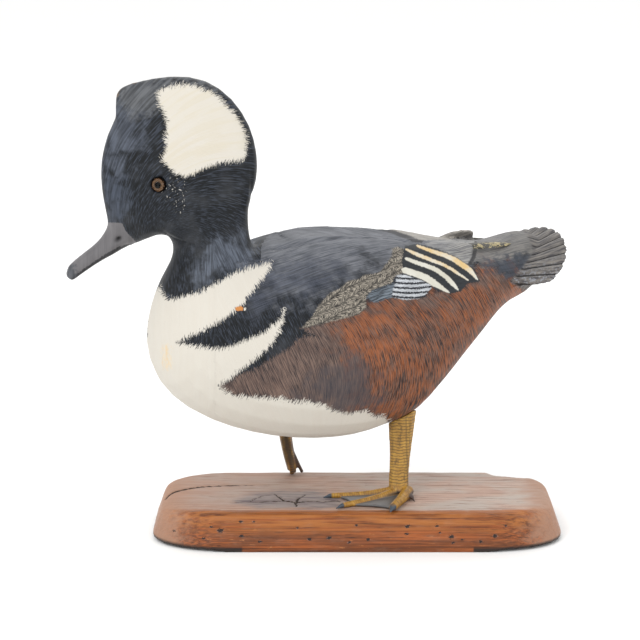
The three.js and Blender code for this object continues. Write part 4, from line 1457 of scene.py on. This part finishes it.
class WeatheredVarnish(Coat):
    """Old varnish brushed on a planed pine board, whose worn grain stands up a little.

    It has bleached to a greyish pink on top, and is still red-brown and satin on the sides. Streaks
    are given as their width and length in millimetres, a seed, the noise at which they start and are
    full, and their colour.
    """

    bleached = "#a58777"
    bleached_streaks = (
        (2.6, 95.0, 1.0, 0.36, 0.62, "#c6ab9b"), (26.0, 60.0, 11.0, 0.4, 0.62, "#b5a99f"),
        (2.0, 46.0, 5.0, 0.55, 0.66, "#866b5e"), (1.5, 22.0, 6.0, 0.62, 0.68, "#62493f"),
    )
    varnish = "#4f2810"
    varnish_streaks = (
        (1.1, 95.0, 2.0, 0.36, 0.64, "#a05626"), (9.0, 50.0, 7.0, 0.44, 0.7, "#62361a"),
        (1.2, 26.0, 12.0, 0.6, 0.68, "#33190b"), (2.2, 12.0, 13.0, 0.64, 0.7, "#a86a38"),
    )
    grain_height = 0.3 * MM

    def grain(self, width: float, length: float, seed: float, low: float = 0.3, high: float = 0.7) -> Socket:
        """Makes grain that runs along the board.

        Args:
            width: The width of a ring in millimetres.
            length: The length of a streak in millimetres.
            seed: A number that sets this grain apart from others.
            low: The noise that becomes 0.
            high: The noise that becomes 1.

        Returns:
            A value from 0 to 1.
        """
        sizes = (length * MM, width * MM, width * MM)
        place = self.add("TexCoord", (), "Object")
        return self.noise(place, sizes, seed, low, high, Detail=4.0, Roughness=0.62, Distortion=0.25)

    def streaked(self, ground: str, streaks: tuple[tuple, ...]) -> Socket:
        """Lays streaks of grain over a ground colour.

        Args:
            ground: The colour of the ground.
            streaks: Each kind of streak.

        Returns:
            The colour.
        """
        for *grain, colour in streaks:
            ground = self.lay(ground, colour, self.grain(*grain))
        return ground

    def ragged(
        self, value: Socket, size: tuple[float, float, float], share: float, low: float, high: float
    ) -> Socket:
        """Gives a stored value a ragged edge.

        Args:
            value: The value.
            size: The width, length and seed of the grain along its edge.
            share: How much the grain adds.
            low: The sum that becomes 0.
            high: The sum that becomes 1.

        Returns:
            A value from 0 to 1.
        """
        total = self.add("Math", (self.grain(*size), share, value), operation="MULTIPLY_ADD")
        return self.add("MapRange", (total, low, high), **SMOOTH)

    def build(self, cracks: int) -> bpy.types.Material:
        """Links the whole material.

        Args:
            cracks: How many cracks the board has.

        Returns:
            The material.
        """
        front, knot, pit, end, foot, rim = (
            self.add("Attribute", (), "Fac", attribute_name=name)
            for name in ("front", "knot", "pit", "end", "foot", "rim")
        )
        along, _, up = self.add("SeparateXYZ", (self.add("TexCoord", (), "Object"),)).node.outputs
        to_left = self.add("MapRange", (along, 90 * MM, -150 * MM), **SMOOTH)
        bleached = self.lay(self.streaked(self.bleached, self.bleached_streaks), "#926e5c", to_left, 0.5)
        varnish = self.streaked(self.varnish, self.varnish_streaks)
        low = self.add("MapRange", (up, 24 * MM, 10 * MM), **SMOOTH)
        varnish = self.lay(self.lay(varnish, "#a5642d", self.grain(2.6, 60.0, 19.0, 0.4, 0.6)), varnish, low)
        on_front = self.ragged(front, (9.0, 30.0, 3.0), 0.5, 0.45, 1.0)
        in_knot = self.ragged(knot, (7.0, 22.0, 4.0), 12.0, 3.0, 16.0)
        stain = self.lay("#75696a", "#958a85", self.grain(5.0, 30.0, 15.0, 0.4, 0.6))
        paint = self.lay(self.lay(bleached, stain, in_knot), varnish, on_front)
        # Painted shade of worm holes too small for the mesh: dark specks on the front
        hole_shade_specks = self.add("Math", (self.grain(1.6, 1.9, 18.0, 0.7, 0.735), on_front), operation="MULTIPLY")
        for colour, mask, share in (
            ("#a57f68", self.ragged(end, (5.0, 14.0, 14.0), 0.5, 0.2, 1.25), 0.8),
            ("#d8cfc6", rim, 0.75),
            ("#8d7b76", self.ragged(pit, (1.3, 2.0, 16.0), 0.6, 0.6, 0.85), 0.35),
            # Painted shade: the middle of each pit is near black
            ("#1d1512", self.ragged(pit, (1.0, 1.6, 17.0), 0.7, 0.68, 0.88), 0.95),
            # Painted shadow under the board's lip, near black
            ("#1e1916", foot, 0.95),
            ("#3a2417", hole_shade_specks, 1.0),
        ):
            paint = self.lay(paint, colour, mask, share)
        # Painted shade: each crack is darkened along its width
        for index in range(cracks):
            inside = self.inside_line(self.parts(f"crack_{index}"))
            paint = self.lay(paint, "#35271f", self.ragged(inside, (2.0, 3.0, 8.0), 0.5, 0.1, 0.65))
        rings = self.grain(1.7, 95.0, 2.0, 0.36, 0.64)
        bump = self.add("Bump", {"Strength": 0.8, "Distance": self.grain_height, "Height": rings})
        rough = self.add("MapRange", (on_front, 0.0, 1.0, 0.7, 0.45))
        return self.finish(base_color=paint, roughness=rough, normal=bump, specular_ior_level=0.35)


@dataclass
class Board:
    """The worn board that the bird stands on."""

    voxel: float = 1.2 * MM
    rounds: int = 12
    relief: BoardRelief = field(default_factory=BoardRelief)
    front_line: float = 510.0
    foot_height: float = 4.2
    end_start: float = 118.0
    end_length: float = 36.0

    def build(self) -> None:
        """Makes the board."""
        relief = self.relief
        skin = Surface("base", "worn_board", self.voxel, relief.filler)
        skin.smooth(self.rounds)
        places, normals = skin.places, skin.normals
        flat = places[:, :2] / MM
        pixels = VIEW.project(places)
        faces_up = eased((normals[:, 2] - 0.55) / 0.3)
        faces_front = eased((-normals[:, 1] - 0.5) / 0.3)
        near_foot = eased(places[:, 2] / MM / 6)
        measured = [crack.measure(flat) for crack in relief.cracks]
        depths = [eased((width - np.abs(away)) / relief.crack_edge + 0.5) for away, _, width in measured]
        crack = np.max(depths, axis=0) * faces_up
        pit = relief.pit_share(pixels) * faces_front
        chip, _, _ = relief.chip.measure(flat)
        cut = eased(chip / 4 + 0.3) * eased((places[:, 2] / MM - 20) / 6)
        height = relief.undulation * lump(places, relief.undulation_size, 3.0) * near_foot
        skin.raise_by(height - relief.crack_depth * crack - relief.pit_depth * pit)
        places = skin.places
        places[:, 2] -= cut * relief.chip_depth * MM
        skin.set_places(places)
        knot, _, _ = relief.knot.measure(flat)
        front = eased((pixels[:, 1] - self.front_line) / 9 + 0.55) * (normals[:, 1] < 0.2)
        back = eased((0.75 - normals[:, 2]) / 0.3)
        near_side = np.maximum(front * (normals[:, 1] < 0), back * 0.6)
        skin.store("front", np.where(places[:, 1] < 0, near_side, back))
        skin.store("knot", knot * faces_up)
        for index, (away, run, width) in enumerate(measured):
            skin.store(f"crack_{index}", np.stack([away, run, np.where(faces_up > 0.3, width, -5)], 1))
        skin.store("pit", pit)
        skin.store("end", eased((np.abs(flat[:, 0]) - self.end_start) / self.end_length))
        # Painted shadow: the bottom few millimetres of the board, under its lip, at its ends and at its back,
        # are darkened to near black
        off_filler = (places[:, 1] > relief.filler[1].y) | (np.abs(places[:, 0]) > -relief.filler[0].x)
        under = (normals[:, 2] < -0.4) | off_filler
        skin.store("foot", eased((self.foot_height - places[:, 2] / MM) / 0.8 + 0.5) * under)
        skin.store("rim", cut)
        materials = [WeatheredVarnish("weathered_varnish_on_pine").build(len(relief.cracks))]
        skin.finish("board_wood", materials)


@dataclass(frozen=True)
class Toe:
    """A toe's middle line on the board, in millimetres."""

    root: Point
    tip: Point
    half: float
    claw: float = 7.0

    def measure(self, flat: np.ndarray) -> tuple[np.ndarray, np.ndarray, np.ndarray]:
        """Measures places against the toe.

        Args:
            flat: Places on the board in millimetres, one row each.

        Returns:
            How far each place is inside the toe's width, how far along the toe it is, and how far it is
            past the start of the claw.
        """
        line = Outline((self.root, self.tip), closed=False, smooth=False, widths=(0.0, 0.0), unit=1.0)
        away, run, past = line.measure(flat)
        length = math.hypot(self.tip[0] - self.root[0], self.tip[1] - self.root[1])
        return self.half + past - np.abs(away), run, run - (length - self.claw)


class LegPaint(Coat):
    """Aged mustard enamel brushed on carved wood, with painted scales.

    It is satin, with thin dark scale lines, grey webs and dark claws. Sizes are in millimetres.
    """

    stored = ("height", "toe", "toe_run", "claw", "strip", "hind")
    scale_step = 2.3
    toe_step = 1.9
    line_half = 0.3
    line_soft = 0.25
    line_height = 0.2 * MM

    def __init__(self, name: str, coat: str, shade: str, shade_share: float) -> None:
        """Starts the material.

        Args:
            name: The leg's name.
            coat: The coat's colour.
            shade: The colour of its dirt on the near leg, and of painted shade on the far leg.
            shade_share: How much of the coat it takes.
        """
        super().__init__("aged_enamel_on_the_" + name)
        self.coat, self.shade, self.shade_share = coat, shade, shade_share

    def bands(self, along: Socket, step: float, where: Socket) -> Socket:
        """Makes thin lines across a limb.

        Args:
            along: Millimetres along the limb.
            step: The distance between two lines.
            where: The share of the lines that shows.

        Returns:
            A value that is 1 on the lines.
        """
        bent = self.add("Math", (self.cloud((5, 5, 9), 0.3, 0.7), 1.3, along), operation="MULTIPLY_ADD")
        away = self.add("Math", (bent, step / 2), operation="PINGPONG")
        edges = (self.line_half + self.line_soft, self.line_half - self.line_soft)
        line = self.add("MapRange", (away, *edges), **SMOOTH)
        return self.add("Math", (line, where), operation="MULTIPLY")

    def build(self) -> bpy.types.Material:
        """Links the whole material.

        Returns:
            The material.
        """
        height, toe, toe_run, claw, strip, hind = (
            self.add("Attribute", (), "Fac", attribute_name=name) for name in self.stored
        )
        paint = self.lay(self.coat, "#b88e3a", self.cloud((4, 4, 7), 0.35, 0.65))
        dirt_and_shade = self.cloud((3, 3, 10), 0.62 - 0.3 * self.shade_share, 0.75 - 0.2 * self.shade_share)
        shank_lines = self.bands(height, self.scale_step, self.add("MapRange", (height, 36.0, 40.0)))
        toe_lines = self.bands(toe_run, self.toe_step, self.add("MapRange", (height, 40.0, 36.0)))
        low = self.add("MapRange", (height, 36.0, 33.0))
        web = self.add("Math", (self.add("MapRange", (toe, 0.3, -0.5)), low), operation="MULTIPLY")
        on_claw = self.add("Math", (self.add("MapRange", (claw, -0.4, 0.4)), low), operation="MULTIPLY")
        for colour, mask, share in (
            # Dirt on the near leg; on the far leg, painted shade over most of it
            (self.shade, dirt_and_shade, 0.75),
            ("#33281a", strip, 0.85),
            ("#4a3a1c", shank_lines, 0.8),
            ("#8a5a24", toe_lines, 0.7),
            ("#5f5e5e", web, 1.0),
            ("#4a3a34", hind, 0.9),
            ("#39434e", on_claw, 1.0),
        ):
            paint = self.lay(paint, colour, mask, share)
        inputs = {"Strength": 0.6, "Distance": self.line_height, "Height": shank_lines}
        bump = self.add("Bump", inputs, invert=True)
        return self.finish(base_color=paint, normal=bump, roughness=0.45)


@dataclass
class Legs:
    """The two legs with their webbed feet, in the board's frame and in millimetres."""

    voxel: float = 0.75 * MM
    rounds: int = 8
    scute_height: float = 0.22
    foot_top: float = 36.0
    toes: tuple[Toe, ...] = (
        Toe((31, -11), (-27, -19), 2.8),
        Toe((34, -12), (-17, -46.5), 2.8),
        Toe((40.5, -14), (25, -56), 4.0),
    )
    hind: Toe = Toe((40, -12), (45, -29), 3.0)

    def build(self) -> None:
        """Makes both legs."""
        self.build_near()
        self.build_far()

    def build_near(self) -> None:
        """Makes the leg on the bird's left with its foot flat on the board."""
        skin = Surface("left_leg", "left_leg_and_foot", self.voxel)
        skin.smooth(self.rounds)
        places = skin.places
        flat, height = places[:, :2] / MM, places[:, 2] / MM
        measured = [toe.measure(flat) for toe in self.toes]
        inside = np.array([m[0] for m in measured])
        nearest = inside.argmax(0)
        run = np.array([m[1] for m in measured])[nearest, np.arange(len(flat))]
        claw = np.array([m[2] for m in measured])[nearest, np.arange(len(flat))]
        on_toe = eased(inside.max(0) / 1.0 + 0.5) * eased((self.foot_top - height) / 2)
        scutes = self.scute_height * np.sin(2 * math.pi * run / LegPaint.toe_step)
        skin.raise_by(scutes * on_toe * (claw < 0))
        hind, _, _ = self.hind.measure(flat)
        # The dark strip down the shank's outer side
        line = 40.3 - 2.0 * (height - 30) / 66
        strip = 0.6 * eased(1.1 - np.abs(flat[:, 0] - line) / 0.8) * (height > 34) * (skin.normals[:, 1] < 0)
        on_hind = eased(hind / 1.2 + 0.3) * eased((self.foot_top - height) / 3) * (inside.max(0) < 0.2)
        paint = LegPaint("near_leg", "#a0762c", "#644a20", 0.35)
        self.finish(skin, paint, (height, inside.max(0), run, claw, strip, on_hind))

    def build_far(self) -> None:
        """Makes the leg on the bird's right, whose foot is folded in mid stride."""
        skin = Surface("right_leg", "right_leg_and_foot", self.voxel)
        skin.smooth(self.rounds)
        places = skin.places
        flat, height = places[:, :2] / MM, places[:, 2] / MM
        middle = np.interp(height, (33, 44, 60, 76, 96), (-51.5, -54, -56.8, -58, -58))
        across = flat[:, 0] - middle
        strip = eased(1.5 - np.abs(across - 0.6) / 2.0)
        hind = eased((across - 3.6) / 1.0) * (height < 50)
        ones = np.ones(len(flat))
        # Painted shade: the far leg, under the bird and behind the near leg, takes a darker copy of the near
        # leg's coat, mostly covered by its dark colour
        paint = LegPaint("far_leg", "#7d4c1f", "#33261d", 1.0)
        self.finish(skin, paint, (height, ones, height, -ones, strip, hind))

    def finish(self, skin: Surface, paint: LegPaint, values: tuple[np.ndarray, ...]) -> None:
        """Stores what a leg's paint reads and puts the leg in its place.

        Args:
            skin: The leg's surface.
            paint: Its paint.
            values: A value for each vertex, in the order of the paint's own names for them.
        """
        for name, value in zip(paint.stored, values):
            skin.store(name, value)
        skin.finish("leg_paint", [paint.build()])


@dataclass
class GlassEye:
    """A glass eye: a clear button over a painted iris. Sizes are in millimetres."""

    side: int
    name: str
    node: str
    aft: float = -154.3
    up: float = 281.5
    head_half: float = 23.4
    forward: float = math.radians(14)
    radius: float = 5.2
    dome: float = 3.1
    back: float = -0.5
    iris_front: float = -0.2
    iris_back: float = -1.6
    rim_width: float = 0.3
    rim_height: float = 0.3
    pupil: float = 1.9
    blur: float = 0.25
    steps: int = 56
    dome_rings: int = 12
    iris_rings: int = 14

    def placing(self) -> Matrix:
        """Places the eye in the head.

        Returns:
            Its place, in which its own Z looks out of the head.
        """
        neck = BIRD.neck_aft / MM
        place = Matrix.Translation((0, BIRD.stand / MM, 0)) @ Matrix.Rotation(BIRD.turn, 4, "Z")
        place @= Matrix.Translation((neck, 0, 0)) @ Matrix.Rotation(BIRD.head_turn, 4, "Z")
        place @= Matrix.Translation((self.aft - neck, self.side * self.head_half, self.up))
        place @= Matrix.Rotation(self.side * self.forward, 4, "Z")
        return Matrix.Scale(MM, 4) @ place @ Matrix.Rotation(-self.side * math.pi / 2, 4, "X")

    def turned(self, name: str, profile: list[Point]) -> bpy.types.Object:
        """Turns a profile about the eye's axis.

        Args:
            name: The piece's name.
            profile: Points from the axis round to the axis, as distances out and up.

        Returns:
            The piece.
        """
        body = bmesh.new()
        points = [body.verts.new((out, 0, up)) for out, up in profile]
        edges = [body.edges.new(pair) for pair in zip(points[:-1], points[1:])]
        bmesh.ops.spin(
            body, geom=points + edges, cent=(0, 0, 0), axis=(0, 0, 1), angle=2 * math.pi, steps=self.steps,
            use_merge=True,
        )
        bmesh.ops.remove_doubles(body, verts=body.verts, dist=0.001)
        bmesh.ops.recalc_face_normals(body, faces=body.faces)
        for face in body.faces:
            face.smooth = True
        mesh = bpy.data.meshes.new(name)
        body.to_mesh(mesh)
        body.free()
        places = np.zeros(len(mesh.vertices) * 3)
        mesh.vertices.foreach_get("co", places)
        places = places.reshape(-1, 3)
        layer = mesh.attributes.new("from_middle", "FLOAT", "POINT")
        layer.data.foreach_set("value", np.hypot(places[:, 0], places[:, 1]).astype(np.float32))
        mesh.transform(self.placing())
        piece = bpy.data.objects.new(name, mesh)
        bpy.context.scene.collection.objects.link(piece)
        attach(piece, "root")
        return piece

    def build(self) -> None:
        """Makes the glass and the iris."""
        sphere = (self.radius**2 + self.dome**2) / (2 * self.dome)
        reach = math.asin(min(self.radius / sphere, 1.0))
        angles = [reach * i / self.dome_rings for i in range(self.dome_rings + 1)]
        arc = [(sphere * math.sin(a), self.dome - sphere * (1 - math.cos(a))) for a in angles]
        glass = self.turned(self.name + "_glass", [*arc, (self.radius, self.back), (0, self.back)])
        glass.data.materials.append(self.glass_material())
        rings = [(self.radius * i / self.iris_rings, self.iris_front) for i in range(self.iris_rings + 1)]
        socket = self.radius + self.rim_width
        rim = [(self.radius, self.rim_height), (socket, self.rim_height / 2), (socket, self.iris_back)]
        iris = self.turned(self.name + "_iris", [*rings, *rim, (0, self.iris_back)])
        iris.data.materials.append(self.iris_material())
        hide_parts(self.node)
        log.info("%s: glass and iris", self.name)

    def glass_material(self) -> bpy.types.Material:
        """Makes clear soda-lime glass, moulded and fire-polished, whose dome catches the lamps.

        Returns:
            The material.
        """
        return Coat(self.name + "_clear_glass").finish(
            base_color=(1.0, 1.0, 1.0, 1.0), roughness=0.02, ior=1.5, transmission_weight=1.0,
            specular_tint=(0.3, 0.3, 0.3, 1.0),
        )

    def iris_material(self) -> bpy.types.Material:
        """Makes enamel painted behind the glass: a mottled brown iris round a black pupil.

        Returns:
            The material.
        """
        coat = Coat(self.name + "_painted_iris")
        out = coat.add("Attribute", (), "Fac", attribute_name="from_middle")
        cloud = coat.noise(coat.add("TexCoord", (), "Object"), (0.9 * MM,) * 3, 0.0, 0.0, 1.0, Detail=3.0)
        wander = coat.add("Math", (cloud, 2 * self.blur, out), operation="MULTIPLY_ADD")
        rings = coat.add("ValToRGB", (coat.add("MapRange", (wander, 0.0, self.radius + self.blur)),))
        marks = rings.node.color_ramp.elements
        edge = (self.pupil + self.blur) / (self.radius + self.blur)
        marks[0].color = linear("#050505")
        marks[-1].color = linear("#1c120d")
        for where, colour in (
            (edge - 0.02, "#050505"), (edge + 0.05, "#59422f"), (0.66, "#84684f"), (0.82, "#7a5d47"),
            (0.92, "#46301f"),
        ):
            marks.new(where).color = linear(colour)
        # The glass lies on the paint, so the paint has no gloss of its own
        return coat.finish(base_color=rings, roughness=0.4, specular_ior_level=0.03)


@dataclass
class Primaries:
    """The thin wing-tip slips over the rump."""

    voxel: float = 0.6 * MM
    rounds: int = 6
    bumps: float = 0.12
    bump_size: float = 3.0
    near: tuple[str, ...] = ("#4a4844", "#2a2926", "#a39670", "#cdbf92")
    far: tuple[str, ...] = ("#96938d", "#7c7975", "#aba79f", "#5a5856")

    def build(self) -> None:
        """Makes both slips."""
        for side, coats in (("left", self.near), ("right", self.far)):
            name = side + "_wing_tip_slip"
            skin = Surface(side + "_primaries", name, self.voxel)
            skin.smooth(self.rounds)
            skin.raise_by(self.bumps * lump(skin.places, self.bump_size, 5.0))
            skin.finish("painted_wood", [self.material(name, coats)])

    def material(self, name: str, coats: tuple[str, ...]) -> bpy.types.Material:
        """Makes the slips' old flaking paint: nearly black on the left one and pale grey on the right.

        Args:
            name: The slip's name.
            coats: The ground colour, and the colours of the blotches on it from large to small.

        Returns:
            The material.
        """
        coat = Coat("flaking_paint_on_" + name)
        paint, *colours = coats
        sizes = ((9, 5, 5), (5, 3, 3), (2.4, 1.6, 1.6))
        for colour, size, low, high in zip(colours, sizes, (0.5, 0.52, 0.6), (0.56, 0.6, 0.66)):
            paint = coat.lay(paint, colour, coat.cloud(size, low, high))
        return coat.finish(base_color=paint, roughness=0.6)


@dataclass
class Stage:
    """The pale floor, the soft lights and the camera."""

    floor_half: float = 12.0
    aim: tuple[float, float, float] = (0.0, 0.0, 0.2)
    sky_strength: float = 1.03

    def build(self) -> None:
        """Makes the floor, the lights, the sky's even light and the camera."""
        sheet = bmesh.new()
        bmesh.ops.create_grid(sheet, x_segments=1, y_segments=1, size=self.floor_half)
        mesh = bpy.data.meshes.new("floor")
        sheet.to_mesh(mesh)
        sheet.free()
        floor = bpy.data.objects.new("floor", mesh)
        bpy.context.scene.collection.objects.link(floor)
        # Uncoated paper, matt, so that it shows soft shadows and no reflections
        mesh.materials.append(Coat("pale_paper").finish(base_color="#fbfbfa", roughness=0.9))
        for name, place, size, power in (
            ("key", (-1.3, -1.6, 1.9), 1.4, 25.0),
            ("fill", (1.9, -1.4, 1.0), 1.8, 8.0),
            ("rim", (0.3, 1.8, 1.7), 1.4, 10.0),
        ):
            data = bpy.data.lights.new(name, "AREA")
            data.size = size
            data.energy = power
            lamp = bpy.data.objects.new(name, data)
            lamp.location = place
            lamp.rotation_euler = (Vector(self.aim) - Vector(place)).to_track_quat("-Z", "Y").to_euler()
            bpy.context.scene.collection.objects.link(lamp)
        world = bpy.data.worlds.new("studio")
        world.use_nodes = True
        sky = world.node_tree.nodes["Background"].inputs
        sky["Color"].default_value = linear("#ffffff")
        sky["Strength"].default_value = self.sky_strength
        bpy.context.scene.world = world
        bpy.context.scene.view_settings.view_transform = "Standard"
        VIEW.make_camera()


def main() -> None:
    """Builds every piece in order."""
    logging.basicConfig(level=logging.INFO, format="%(name)s: %(message)s")
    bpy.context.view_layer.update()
    Stage().build()
    Bird().build()
    Board().build()
    Legs().build()
    GlassEye(-1, "left_eye", "left_eye").build()
    GlassEye(1, "right_eye", "right_eye").build()
    Primaries().build()


if __name__ == "__main__":
    main()
